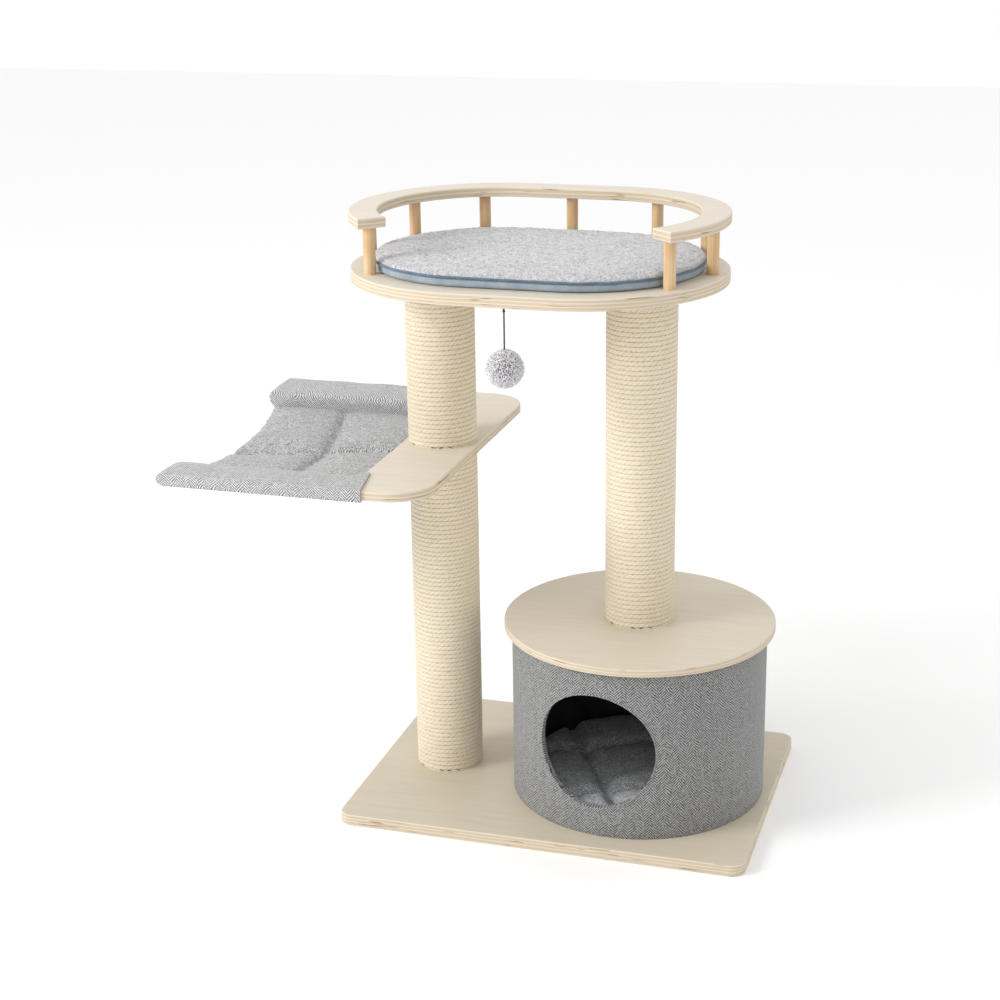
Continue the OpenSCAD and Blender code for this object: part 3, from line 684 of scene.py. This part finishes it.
def fray(node, name, seed, count=800):
    """Loose sisal fibres that stand a little off a winding."""
    low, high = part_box(node)
    bpy.ops.mesh.primitive_cone_add(vertices=3, radius1=0.16 * MM, radius2=0.05 * MM, depth=1)
    fibre = bpy.context.object
    edit(fibre, bpy.ops.mesh.bisect, plane_co=(0, 0, 0), plane_no=(0, 0, 1))
    bow = 0.5 * MM
    reshape(fibre, lambda co: Vector((co.x + bow * (1 - 4 * co.z ** 2), co.y, co.z)))
    draw = random.Random(seed)
    places = []
    for _ in range(count):
        turn = draw.uniform(0, 2 * math.pi)
        out = Vector((math.cos(turn), math.sin(turn), 0))
        along = Vector((-math.sin(turn), math.cos(turn), 0)) * draw.choice((-1, 1))
        way = (0.45 * out + along + Vector((0, 0, draw.uniform(-0.5, 0.5)))).normalized()
        length = draw.uniform(2.5, 6) * MM
        level = draw.uniform(low.z + 2 * MM, high.z - 2 * MM)
        root = Vector(((low.x + high.x) / 2, (low.y + high.y) / 2, level)) + out * (POST_RADIUS - 0.6 * MM)
        places.append(Matrix.Translation(root + way * 0.4 * length)
                      @ way.to_track_quat("Z", "Y").to_matrix().to_4x4() @ Matrix.Diagonal((1, 1, length, 1)))
    fibres = repeat(fibre, name, places)
    dress(fibres, name, STRAW, "frame")


fray("right_post_rope", "right_post_fibres", 5)
fray("left_lower_post_rope", "left_lower_post_fibres", 6)
fray("left_upper_post_rope", "left_upper_post_fibres", 7, 400)


# ---------- condo ----------

DOOR_TURN = math.radians(7)
DOOR_RADIUS = 76.5 * MM
DOOR_CENTRE = Vector((RIGHT_AXIS.x, RIGHT_AXIS.y, 130 * MM))
DOOR_WAY = Vector((-math.sin(DOOR_TURN), -math.cos(DOOR_TURN), 0))
DOOR_SIDE = Vector((math.cos(DOOR_TURN), -math.sin(DOOR_TURN), 0))
LINING_LOW, LINING_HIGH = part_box("condo_lining")
LINING_RADIUS = (LINING_HIGH.x - LINING_LOW.x) / 2
COVER_CLOTH = 2 * MM
LINING_CLOTH = 1.5 * MM


def roll_cloth(radius, cloth, low_z, high_z, loose, seed):
    """A cloth rolled into a drum, with its seam behind: a grid wrapped round, thickened inwards, with
    the door cut out. Loose is how far it bellies and ripples."""
    bpy.ops.mesh.primitive_grid_add(x_subdivisions=200, y_subdivisions=20, size=2)
    wall = bpy.context.object

    def wrap(co):
        turn = math.pi * co.x
        ripple = noise.noise(Vector((math.cos(turn) * 3, math.sin(turn) * 3, co.y * 2 + seed)))
        r = radius + loose * (0.6 * (1 - co.y ** 2) + 0.8 * ripple - 0.6)
        z = (low_z + high_z) / 2 + (high_z - low_z) / 2 * co.y
        return Vector((RIGHT_AXIS.x + r * math.sin(turn), RIGHT_AXIS.y - r * math.cos(turn), z))

    reshape(wall, wrap)
    open_mesh(wall)
    bpy.ops.mesh.remove_doubles(threshold=0.05 * MM)
    bpy.ops.mesh.normals_make_consistent(inside=False)
    close_mesh()
    modify(wall, "SOLIDIFY", thickness=cloth, offset=-1)
    modify(wall, "BEVEL", width=0.35 * cloth, segments=2, limit_method="ANGLE")
    bpy.ops.mesh.primitive_cylinder_add(
        vertices=160, radius=DOOR_RADIUS, depth=2 * radius, rotation=(math.pi / 2, 0, -DOOR_TURN),
        location=DOOR_CENTRE + DOOR_WAY * radius)
    cut_away(wall, bpy.context.object)
    smooth(wall, 35)
    return wall


def bind_door():
    """The cloth turned in round the door's edge: a short pipe, rounded all over and bent to the drum."""
    overlap, cloth = 2 * MM, 2.5 * MM
    proud_outside, proud_inside = 0.8 * MM, 0.4 * MM
    outer = CONDO_RADIUS + proud_outside
    inner = LINING_RADIUS - LINING_CLOTH - proud_inside
    middle = (outer + inner) / 2
    bpy.ops.mesh.primitive_cylinder_add(
        vertices=144, radius=DOOR_RADIUS + overlap, depth=outer - inner, end_fill_type="NOTHING",
        rotation=(math.pi / 2, 0, -DOOR_TURN), location=DOOR_CENTRE + DOOR_WAY * middle)
    rim = bpy.context.object
    apply_place(rim)
    modify(rim, "SOLIDIFY", thickness=cloth, offset=-1)
    modify(rim, "BEVEL", width=0.7 * MM, segments=4, limit_method="ANGLE", angle_limit=math.radians(60))

    def bend(co):
        from_axis = co - RIGHT_AXIS
        aside, ahead = from_axis.dot(DOOR_SIDE), from_axis.dot(DOOR_WAY)
        ripple = noise.noise(co * 40) * 0.1 * MM
        return co + DOOR_WAY * (math.sqrt(ahead ** 2 - aside ** 2) - ahead + ripple)

    reshape(rim, bend)
    edit(rim, bpy.ops.mesh.normals_make_consistent, inside=False)
    smooth(rim, 60)
    dress(rim, "condo_door_binding", DRUM_CLOTH, "frame")


def sew(name, path, length, size, body):
    """A row of stitches: each is a little bar that lies along the path's next step."""
    bpy.ops.mesh.primitive_cube_add(size=1)
    stitch = bpy.context.object
    stitch.scale = (length, 2 * size, 1.4 * size)
    apply_place(stitch)
    edit(stitch, bpy.ops.transform.resize, "FACE", lambda face: abs(face.normal.x) > 0.9,
         value=(1, 0.4, 0.4))
    modify(stitch, "BEVEL", width=0.3 * size, segments=1, limit_method="ANGLE")
    places = []
    for here, way, up in path:
        way = way.normalized()
        side = up.cross(way).normalized()
        turn = Matrix((way, side, way.cross(side))).transposed().to_4x4()
        places.append(Matrix.Translation(here) @ turn)
    dress(repeat(stitch, name, places), name, THREAD, body)


def sew_drum_seam():
    """The cover's lapped seam behind: a folded strip, with a row of stitches down each side."""
    width, rise, end_gap = 13 * MM, 0.9 * MM, 0.5 * MM
    stitch_length, stitch_size, pitch = 3.4 * MM, 0.55 * MM, 5 * MM
    height = CONDO_HIGH.z - CONDO_LOW.z
    bpy.ops.mesh.primitive_cube_add(size=1, location=(
        RIGHT_AXIS.x, RIGHT_AXIS.y + CONDO_RADIUS, (CONDO_LOW.z + CONDO_HIGH.z) / 2))
    strip = bpy.context.object
    strip.scale = (width, 2 * rise, height - 2 * end_gap)
    apply_place(strip)
    modify(strip, "BEVEL", width=0.7 * rise, segments=3, limit_method="ANGLE")
    smooth(strip, 60)
    dress(strip, "condo_cover_seam", DRUM_CLOTH, "frame")
    path = [(Vector((RIGHT_AXIS.x + side * 0.35 * width, RIGHT_AXIS.y + CONDO_RADIUS + rise,
                     CONDO_LOW.z + (i + 0.7) * pitch)), Vector((0, 0, 1)), Vector((0, 1, 0)))
            for side in (-1, 1) for i in range(int(height / pitch) - 1)]
    sew("condo_seam_stitches", path, stitch_length, stitch_size, "frame")


cover = roll_cloth(CONDO_RADIUS, COVER_CLOTH, CONDO_LOW.z, CONDO_HIGH.z, 0.35 * MM, 3)
dress(cover, "condo_fabric_cover", DRUM_CLOTH, "frame", ["condo_cover"])
lining = roll_cloth(LINING_RADIUS, LINING_CLOTH, LINING_LOW.z, LINING_HIGH.z, 0.25 * MM, 8)
dress(lining, "condo_fabric_lining", LINING_PAINTED_SHADE, "frame", ["condo_lining"])
bind_door()
sew_drum_seam()


# ---------- padded pieces ----------

FILL_PRESSURE = 4
SWELL_FRAMES = 20


def swell(pad, held, cap):
    """Swells a padded piece by cloth simulation. Points that held() accepts stay where they are, and
    no other moves further than cap."""
    scene = bpy.context.scene
    before = [point.co.copy() for point in pad.data.vertices]
    sewn = pad.vertex_groups.new(name="sewn")
    sewn.add([point.index for point in pad.data.vertices if held(point.co)], 1, "REPLACE")
    cloth = pad.modifiers.new("swelling", "CLOTH")
    cloth.settings.quality = 6
    cloth.settings.mass = 0.2
    cloth.settings.tension_stiffness = 12
    cloth.settings.compression_stiffness = 8
    cloth.settings.bending_stiffness = 0.6
    cloth.settings.use_pressure = True
    cloth.settings.uniform_pressure_force = FILL_PRESSURE
    cloth.settings.vertex_group_mass = "sewn"
    cloth.settings.effector_weights.gravity = 0
    scene.frame_start, scene.frame_end = 1, SWELL_FRAMES
    for number in range(1, SWELL_FRAMES + 1):
        scene.frame_set(number)
    pick(pad)
    bpy.ops.object.modifier_apply(modifier=cloth.name)
    scene.frame_set(1)
    pad.vertex_groups.clear()
    for point, was in zip(pad.data.vertices, before):
        move = point.co - was
        if move.length > 0:
            point.co = was + move * (cap * math.tanh(move.length / cap) / move.length)


def soften(pad):
    """One subdivision and a light smoothing, as the cloth's own stiffness gives."""
    modify(pad, "SUBSURF", levels=1, render_levels=1)
    modify(pad, "SMOOTH", factor=0.4, iterations=2)
    smooth(pad)


# The cushion in the condo is quilted by two pairs of seams, turned from the front
QUILT_TURN = math.radians(28)
QUILT_ACROSS = (-60 * MM, 65 * MM)
QUILT_ALONG = (-73 * MM, 58 * MM)
QUILT_DIP = 0.3             # the share of the pad's height that a seam draws in
QUILT_CUT = 5 * MM          # how deep the thread sinks in the swollen cloth


def make_condo_cushion():
    """A round pad with a crowned top, drawn in along its quilting seams."""
    low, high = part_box("condo_cushion")
    radius = (high.x - low.x) / 2 + 4 * MM
    start_height = 0.86 * (high.z - low.z)      # lower than the filled pad, which swells
    bpy.ops.mesh.primitive_cylinder_add(vertices=96, radius=radius, depth=start_height,
                                        location=(RIGHT_AXIS.x, RIGHT_AXIS.y, low.z + start_height / 2))
    pad = bpy.context.object
    apply_place(pad)
    modify(pad, "BEVEL", width=0.44 * start_height, segments=5, limit_method="ANGLE")
    modify(pad, "REMESH", mode="VOXEL", voxel_size=5 * MM)
    along = Vector((math.cos(QUILT_TURN), math.sin(QUILT_TURN), 0))
    across = Vector((-math.sin(QUILT_TURN), math.cos(QUILT_TURN), 0))

    def to_seam(co):
        from_axis = co - RIGHT_AXIS
        return min([abs(from_axis.dot(along) - off) for off in QUILT_ACROSS]
                   + [abs(from_axis.dot(across) - off) for off in QUILT_ALONG])

    def draw_in(co):
        dip = QUILT_DIP * math.exp(-(to_seam(co) / (9 * MM)) ** 2)
        return Vector((co.x, co.y, low.z + (co.z - low.z) * (1 - dip)))

    reshape(pad, draw_in)
    swell(pad, lambda co: to_seam(co) < 3.5 * MM or co.z < low.z + 1.5 * MM, cap=10 * MM)
    soften(pad)

    def sew_down(co):
        """Sharpens the seams, ripples the cloth beside them, and rests the pad on the base."""
        off = to_seam(co)
        pucker = noise.noise(Vector((co.x * 90, co.y * 90, 3))) * math.exp(-(off / (16 * MM)) ** 2)
        lump = noise.noise(Vector((co.x * 30, co.y * 30, 6)))
        above = max(0, min(1, (co.z - low.z) / (20 * MM)))
        sink = QUILT_CUT * math.exp(-(off / (5 * MM)) ** 2) - (2.5 * pucker + 2 * lump) * MM
        return Vector((co.x, co.y, max(low.z, co.z - sink * above)))

    reshape(pad, sew_down)
    dress(pad, "condo_cushion_pad", CONDO_CLOTH, "condo_cushion_body",
          ["condo_cushion"])


make_condo_cushion()


# ---------- hammock ----------

BOARD_LOW, BOARD_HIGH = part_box("hammock_board")
SLING_LOW, SLING_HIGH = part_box("hammock_sling")
ARM_WIDTH = 45 * MM
SLEEVE_WIDTH = 70 * MM
SLING_SKEW = 20 * MM        # how much further out the rear sleeve sits
FOLD_DROP = 6 * MM          # the fold's drop from the sleeve's top
SEAM_DROP = 23 * MM         # the seat seam's drop below the fold
SEAT_BOW = 22 * MM          # of the free edge, inwards
SEAT_SAG = 5 * MM           # of the seat's middle line, below its seams
SEAT_THICKNESS = 10 * MM    # before it is filled
ROOT_MARGIN = 2.5 * MM      # from the post to where the arms leave the board
BOARD_ROOT = LEFT_AXIS.x - POST_RADIUS - ROOT_MARGIN
END_SLANT = 13 * MM         # how much further back a sleeve's end is on the seat's side
POCKET_GAP = 0.7 * MM       # between an arm and its sleeve
SLEEVE_CLOTH_RISE = 2.2 * MM    # of the sleeve's end, on top of the board's root
SLEEVE_OUT = SLING_HIGH.y
SLEEVE_IN = SLEEVE_OUT - SLEEVE_WIDTH
SEAM_HEIGHT = SLING_HIGH.z - FOLD_DROP - SEAM_DROP

# The seat's two crossing seams: a point on each, and how far each slants aside per length
MIDDLE_SEAM_X = -338 * MM
MIDDLE_SEAM_SLANT = -0.22   # behind the middle only
CROSS_SEAM_PLACE = (-336 * MM, -4 * MM)
CROSS_SEAM_SLANT = 0.3


def make_sleeve(side, name):
    """A cloth sleeve over one arm: its rounded section, drawn along the arm in short steps, with a
    pocket for the arm, a sewn-up far end, and a soft fold on the seat's side."""
    left = SLING_LOW.x + (SLING_SKEW if side < 0 else 0)
    right = SLING_HIGH.x - (0 if side < 0 else SLING_SKEW)
    top = SLING_HIGH.z
    bottom = BOARD_LOW.z - 3 * MM
    under_arm = SLEEVE_OUT - ARM_WIDTH - 6 * MM
    # Each corner of the section: its place across, its height and how round it is
    section = [
        (SLEEVE_OUT, bottom, 5 * MM),
        (SLEEVE_OUT, top, 7 * MM),
        (SLEEVE_OUT - ARM_WIDTH, top, 14 * MM),
        (SLEEVE_IN, top - FOLD_DROP, 7 * MM),
        (SLEEVE_IN + 3 * MM, SEAM_HEIGHT, 2.5 * MM),
        (under_arm, bottom, 9 * MM),
    ]
    bpy.ops.mesh.primitive_circle_add(vertices=len(section), fill_type="NGON", radius=1)
    sleeve = bpy.context.object
    for point, (y, z, _) in zip(sleeve.data.vertices, section):
        point.co = (right, side * y, z)
    for y, z, radius in section:
        corner = Vector((right, side * y, z))
        edit(sleeve, bpy.ops.mesh.bevel, "VERT", lambda point: (point.co - corner).length < 0.01 * MM,
             offset=radius, segments=5, affect="VERTICES", clamp_overlap=False)
    edit(sleeve, bpy.ops.mesh.subdivide, "EDGE", lambda edge: edge.calc_length() > 8 * MM, number_cuts=5)
    steps = 54
    open_mesh(sleeve)
    for _ in range(steps):
        bpy.ops.mesh.extrude_region_move(
            TRANSFORM_OT_translate={"value": ((left - right) / steps, 0, 0)})
    close_mesh()
    edit(sleeve, bpy.ops.mesh.normals_make_consistent, inside=False)
    mid_z = (top + bottom) / 2
    climb = 12 * MM             # the length in which the cloth climbs onto the board's root
    root = BOARD_ROOT - climb
    closing = min(11 * MM, BOARD_LOW.x - left + 0.5 * MM)

    def settle(co):
        """Closes the far end softly, and gives the cloth its slack ripples."""
        end = max(0, 1 - (co.x - left) / closing)
        pinch = 1 - 0.45 * end ** 3
        z = mid_z + (co.z - mid_z) * pinch
        slack = noise.noise(Vector((co.x * 28, co.y * 34, 5 + side))) * 1.1 * MM
        fine = noise.noise(Vector((co.x * 90, co.y * 90, 9 + side))) * 0.35 * MM
        fade = min(1, (co.x - left) / (20 * MM)) * min(1, (right - co.x) / (12 * MM) + 0.2)
        outwards = 1 if co.z > mid_z else -0.4
        y = co.y + (0.4 * slack if abs(co.y) < SLEEVE_OUT - 4 * MM else 0)
        z += (slack + fine) * fade * outwards
        inward = (SLEEVE_OUT - abs(co.y)) / SLEEVE_WIDTH
        x = co.x - END_SLANT * inward * max(0, (co.x - left) / (right - left)) ** 8
        if x > root and co.z > BOARD_HIGH.z - 6 * MM:     # the cloth lies on the board's root
            lift = min(1, (x - root) / climb)
            z += lift * (max(z, BOARD_HIGH.z + SLEEVE_CLOTH_RISE) - z)
        return Vector((x, y, z))

    reshape(sleeve, settle)
    # The arm's pocket, open at the post's end, and room for the board's root on the seat's side
    arm_left, open_end = BOARD_LOW.x - 1 * MM, right + 20 * MM
    root_top, root_length, root_depth = BOARD_HIGH.z + 0.4 * MM, 62 * MM, 80 * MM
    for middle, size in (
        (((arm_left + open_end) / 2, side * (BOARD_HIGH.y - ARM_WIDTH / 2), (BOARD_LOW.z + BOARD_HIGH.z) / 2),
         (open_end - arm_left, ARM_WIDTH + 2 * POCKET_GAP, BOARD_HIGH.z - BOARD_LOW.z + 2 * POCKET_GAP)),
        ((BOARD_ROOT - 1 * MM + root_length / 2, side * SLEEVE_IN, root_top - root_depth / 2),
         (root_length, 2 * (BOARD_HIGH.y - ARM_WIDTH - SLEEVE_IN + POCKET_GAP), root_depth)),
    ):
        bpy.ops.mesh.primitive_cube_add(size=1, location=middle)
        room = bpy.context.object
        room.scale = size
        apply_place(room)
        cut_away(sleeve, room)
    smooth(sleeve, 60)
    dress(sleeve, name, SLEEVE_CLOTH, "sling_body", ["hammock_sling"])


def seat_middle_seam(y):
    """Where the seam from front to back runs, for a place y."""
    return MIDDLE_SEAM_X + MIDDLE_SEAM_SLANT * max(0, y)


def seat_cross_seam(x):
    """Where the seam from left to right runs, for a place x."""
    return CROSS_SEAM_PLACE[1] + CROSS_SEAM_SLANT * (x - CROSS_SEAM_PLACE[0])


def make_seat():
    """The quilted seat, slung between the sleeves' seams: four slack quarters round a sewn cross."""
    rim = SLEEVE_IN + 11 * MM   # the seat's edges are sewn in under the sleeves' folds
    post_gap = 4 * MM
    post_side = LEFT_AXIS.x - POST_RADIUS - post_gap
    bpy.ops.mesh.primitive_grid_add(x_subdivisions=56, y_subdivisions=64, size=2)
    seat = bpy.context.object
    post_bow = SLING_HIGH.x - SLING_SKEW / 2 - post_side

    def hang(co):
        y = rim * co.y
        bend = 1 - co.y ** 2
        skew = SLING_SKEW * (y + SLEEVE_OUT) / (2 * SLEEVE_OUT)
        left = SLING_LOW.x + SLING_SKEW - skew + SEAT_BOW * bend
        right = SLING_HIGH.x - skew - post_bow * bend
        x = left + (right - left) * (co.x + 1) / 2
        return Vector((x, y, SEAM_HEIGHT - SEAT_SAG * bend))

    reshape(seat, hang)
    modify(seat, "SOLIDIFY", thickness=SEAT_THICKNESS, offset=0)
    modify(seat, "REMESH", mode="VOXEL", voxel_size=4.5 * MM)

    def to_seam(co):
        return min(abs(co.x - seat_middle_seam(co.y)), abs(co.y - seat_cross_seam(co.x)))

    def draw_in(co):
        level = SEAM_HEIGHT - SEAT_SAG * (1 - (co.y / rim) ** 2)
        dip = 0.8 * math.exp(-(to_seam(co) / (8 * MM)) ** 2)
        return Vector((co.x, co.y, level + (co.z - level) * (1 - dip)))

    reshape(seat, draw_in)
    swell(seat, lambda co: to_seam(co) < 3 * MM or abs(co.y) > SLEEVE_IN - 2 * MM, cap=9 * MM)

    def rumple(co):
        slack = noise.noise(Vector((co.x * 16, co.y * 11, 2))) * 2.2 * MM
        crease = noise.noise(Vector((co.x * 45, co.y * 22, 7))) * 0.9 * MM
        free = max(0, min(1, (SLEEVE_IN - abs(co.y)) / (25 * MM)))
        off = to_seam(co)
        pucker = 0.5 + 0.5 * math.sin((co.x + co.y) / (3.5 * MM) + 4 * noise.noise(co * 20))
        sewn = 3.2 * math.exp(-(off / (5 * MM)) ** 2) + 1.2 * pucker * math.exp(-(off / (14 * MM)) ** 2)
        return co + Vector((0, 0, (slack + crease - sewn * MM) * free))

    soften(seat)
    reshape(seat, rumple)
    dress(seat, "hammock_seat_pad", SEAT_CLOTH, "sling_body", ["hammock_sling"])
    return seat


def lie_on(obj, x, y, way):
    """A stitch's place on top of obj at x, y, with its way along the surface and the surface's normal."""
    hit, place, normal, _ = obj.ray_cast(Vector((x, y, 2)), Vector((0, 0, -1)))
    if not hit or normal.z < 0.3:
        return None
    return place + normal * 0.1 * MM, way - normal * way.dot(normal), normal


def sew_seat(seat):
    """Stitches along the seat's two crossing seams and beside both sleeves."""
    step, stitch_length, stitch_size, from_sleeve = 4.5 * MM, 3 * MM, 0.45 * MM, 2.5 * MM
    path = []
    for number in range(-36, 37):
        y = number * step
        slant = MIDDLE_SEAM_SLANT if y > 0 else 0
        path.append(lie_on(seat, seat_middle_seam(y), y, Vector((slant, 1, 0))))
        x = MIDDLE_SEAM_X + number * step
        path.append(lie_on(seat, x, seat_cross_seam(x), Vector((1, CROSS_SEAM_SLANT, 0))))
        for side in (-1, 1):
            path.append(lie_on(seat, x, side * (SLEEVE_IN - from_sleeve), Vector((1, 0, 0))))
    path = [stitch for stitch in path if stitch]
    sew("hammock_stitches", path, stitch_length, stitch_size, "sling_body")


make_sleeve(-1, "hammock_front_sleeve")
make_sleeve(1, "hammock_rear_sleeve")
sew_seat(make_seat())


# ---------- top cushion ----------

PAD_LOW, PAD_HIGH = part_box("top_cushion_piping")
PAD_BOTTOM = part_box("top_cushion")[0].z
PAD_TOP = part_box("top_cushion")[1].z
PAD_RADIUS = (PAD_HIGH.y - PAD_LOW.y) / 2
PAD_HALF = (PAD_HIGH.x - PAD_LOW.x) / 2 - PAD_RADIUS
PAD_MIDDLE = (PAD_LOW + PAD_HIGH) / 2
PLUSH_LEVEL = PAD_TOP - 6 * MM      # where the plush meets the band


def to_stadium(co):
    """Parts a round shape at its middle, so that its halves become the ends of a long one."""
    half = math.copysign(PAD_HALF, co.x) if abs(co.x) > 0.01 * MM else 0
    return Vector((co.x + half + PAD_MIDDLE.x, co.y + PAD_MIDDLE.y, co.z))


def stadium_depth(co):
    """How far inside the cushion's outline a place is."""
    x = max(0, abs(co.x - PAD_MIDDLE.x) - PAD_HALF)
    return PAD_RADIUS - math.hypot(x, co.y - PAD_MIDDLE.y)


def make_cushion_band():
    """The cushion's boxed side and underside, in smooth cloth that bulges a little."""
    bpy.ops.mesh.primitive_cylinder_add(
        vertices=160, radius=PAD_RADIUS - 1.6 * MM, depth=PLUSH_LEVEL - PAD_BOTTOM,
        location=(0, 0, (PLUSH_LEVEL + PAD_BOTTOM) / 2))
    band = bpy.context.object
    apply_place(band)
    reshape(band, to_stadium)
    modify(band, "BEVEL", width=3.5 * MM, segments=5, limit_method="ANGLE", angle_limit=math.radians(60))
    modify(band, "REMESH", mode="VOXEL", voxel_size=2.5 * MM)

    def settle(co):
        edge = max(0, 1 - stadium_depth(co) / (12 * MM))
        pucker = noise.noise(Vector((co.x * 55, co.y * 55, co.z * 20))) * 0.7 * MM
        outward = Vector((co.x - PAD_MIDDLE.x, co.y - PAD_MIDDLE.y, 0)).normalized()
        return co + outward * pucker * edge

    reshape(band, settle)
    modify(band, "SMOOTH", factor=0.5, iterations=3)
    smooth(band)
    dress(band, "top_cushion_band", BAND, "top_cushion_body")


def make_plush_top():
    """The cushion's plush face: crowned, with its pile in soft knots that stand up at the rim."""
    thickness, crown_height = 6 * MM, 6 * MM
    bpy.ops.mesh.primitive_cylinder_add(vertices=160, radius=PAD_RADIUS - 1.8 * MM, depth=thickness,
                                        location=(0, 0, PLUSH_LEVEL))
    plush = bpy.context.object
    apply_place(plush)
    reshape(plush, to_stadium)
    modify(plush, "BEVEL", width=2.6 * MM, segments=4, limit_method="ANGLE", angle_limit=math.radians(60))
    modify(plush, "REMESH", mode="VOXEL", voxel_size=2.1 * MM)

    def raise_pile(co):
        if co.z < PLUSH_LEVEL:
            return co
        depth = max(0, stadium_depth(co))
        crown = crown_height * (1 - math.exp(-depth / (16 * MM)))
        lie = noise.noise(Vector((co.x * 14, co.y * 14, 4))) * 1.6 * MM
        knots = noise.noise(Vector((co.x * 230, co.y * 230, co.z * 230))) * 1.5 * MM
        fine = noise.noise(Vector((co.x * 420, co.y * 420, 1))) * 0.7 * MM
        return co + Vector((0, 0, crown + lie * min(1, depth / (20 * MM)) + knots + fine))

    reshape(plush, raise_pile)
    smooth(plush)
    dress(plush, "top_cushion_plush", PLUSH, "top_cushion_body", ["top_cushion"])


def make_piping():
    """A covered cord sewn round the cushion where the plush meets its side."""
    bpy.ops.mesh.primitive_torus_add(
        major_segments=240, minor_segments=14, major_radius=PAD_RADIUS - 1.2 * MM, minor_radius=1.6 * MM,
        location=(0, 0, PLUSH_LEVEL - 0.4 * MM))
    piping = bpy.context.object
    apply_place(piping)
    reshape(piping, to_stadium)

    def pull(co):
        """Small dips where each stitch draws the cord in."""
        way = (co.x - PAD_MIDDLE.x + co.y) / (7 * MM)
        return co + Vector((0, 0, 0.25 * MM * math.sin(way) + noise.noise(co * 30) * 0.8 * MM))

    reshape(piping, pull)
    smooth(piping)
    dress(piping, "top_cushion_edge_piping", PIPING, "top_cushion_body", ["top_cushion_piping"])


make_cushion_band()
make_plush_top()
make_piping()


# ---------- toy ----------

def make_pompom():
    """A core with about two thousand bent yarn tufts standing out of it, clipped to a ball."""
    low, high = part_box("toy_pompom")
    middle, radius = (low + high) / 2, (high.z - low.z) / 2
    core_radius = 0.66 * radius
    bpy.ops.mesh.primitive_ico_sphere_add(subdivisions=4, radius=core_radius, location=middle)
    core = bpy.context.object
    apply_place(core)
    reshape(core, lambda co: co + (co - middle).normalized() * noise.noise(co * 300) * 2 * MM)
    smooth(core)
    dress(core, "toy_pompom_core", YARN, "toy", ["toy_pompom"])
    # One tuft: a thin tapering strand, bent over at its tip
    tuft_length = radius - 0.8 * core_radius
    bpy.ops.mesh.primitive_cone_add(vertices=5, radius1=0.95 * MM, radius2=0.5 * MM, depth=tuft_length,
                                    location=(0, 0, tuft_length / 2))
    tuft = bpy.context.object
    apply_place(tuft)
    for share in (0.4, 0.7, 0.9):
        edit(tuft, bpy.ops.mesh.bisect, plane_co=(0, 0, share * tuft_length), plane_no=(0, 0, 1))
    bend = 2.4 * MM
    reshape(tuft, lambda co: co + Vector((bend * (co.z / tuft_length) ** 2, 0, 0)))
    draw = random.Random(4)
    count = 2200
    places = []
    for i in range(count):
        rise = 1 - 2 * (i + 0.5) / count
        turn = math.pi * (1 + math.sqrt(5)) * i
        flat = math.sqrt(1 - rise * rise)
        way = Vector((flat * math.cos(turn), flat * math.sin(turn), rise))
        way = (way + Vector([draw.uniform(-0.12, 0.12) for _ in range(3)])).normalized()
        long = draw.uniform(0.86, 1.0)
        spin = Matrix.Rotation(draw.uniform(0, 2 * math.pi), 4, "Z")
        stretch = Matrix.Diagonal((1, 1, long, 1))
        places.append(Matrix.Translation(middle + way * 0.8 * core_radius)
                      @ way.to_track_quat("Z", "Y").to_matrix().to_4x4() @ spin @ stretch)
    tufts = repeat(tuft, "toy_pompom_tufts", places)
    smooth(tufts)
    dress(tufts, "toy_pompom_tufts", YARN, "toy")
    return core, tufts


pompom_pieces = make_pompom()
toy_cord.data.materials.append(CORD)
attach(toy_cord, "toy")
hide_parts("toy_cord")


# ---------- floor and light ----------

def make_room():
    bpy.ops.mesh.primitive_plane_add(size=16)
    floor = bpy.context.object
    floor.name = "floor"
    paint = new_material("matt_white_floor", "#F9F9F9", 0.9)
    floor.data.materials.append(paint)
    world = bpy.data.worlds.new("soft_room")
    world.use_nodes = True
    sky = world.node_tree.nodes["Background"]
    sky.inputs["Color"].default_value = (1, 1, 1, 1)
    sky.inputs["Strength"].default_value = 1
    bpy.context.scene.world = world
    lamp = bpy.data.lights.new("key", "AREA")
    lamp.size = 1.2
    lamp.energy = 60
    key = bpy.data.objects.new("key", lamp)
    bpy.context.collection.objects.link(key)
    place = Vector((-2.4, -1.7, 1.9))
    aim = Vector((0, 0, 0.4)) - place
    key.matrix_world = Matrix.Translation(place) @ aim.to_track_quat("-Z", "Y").to_matrix().to_4x4()
    bpy.context.scene.view_settings.view_transform = "Standard"


make_room()
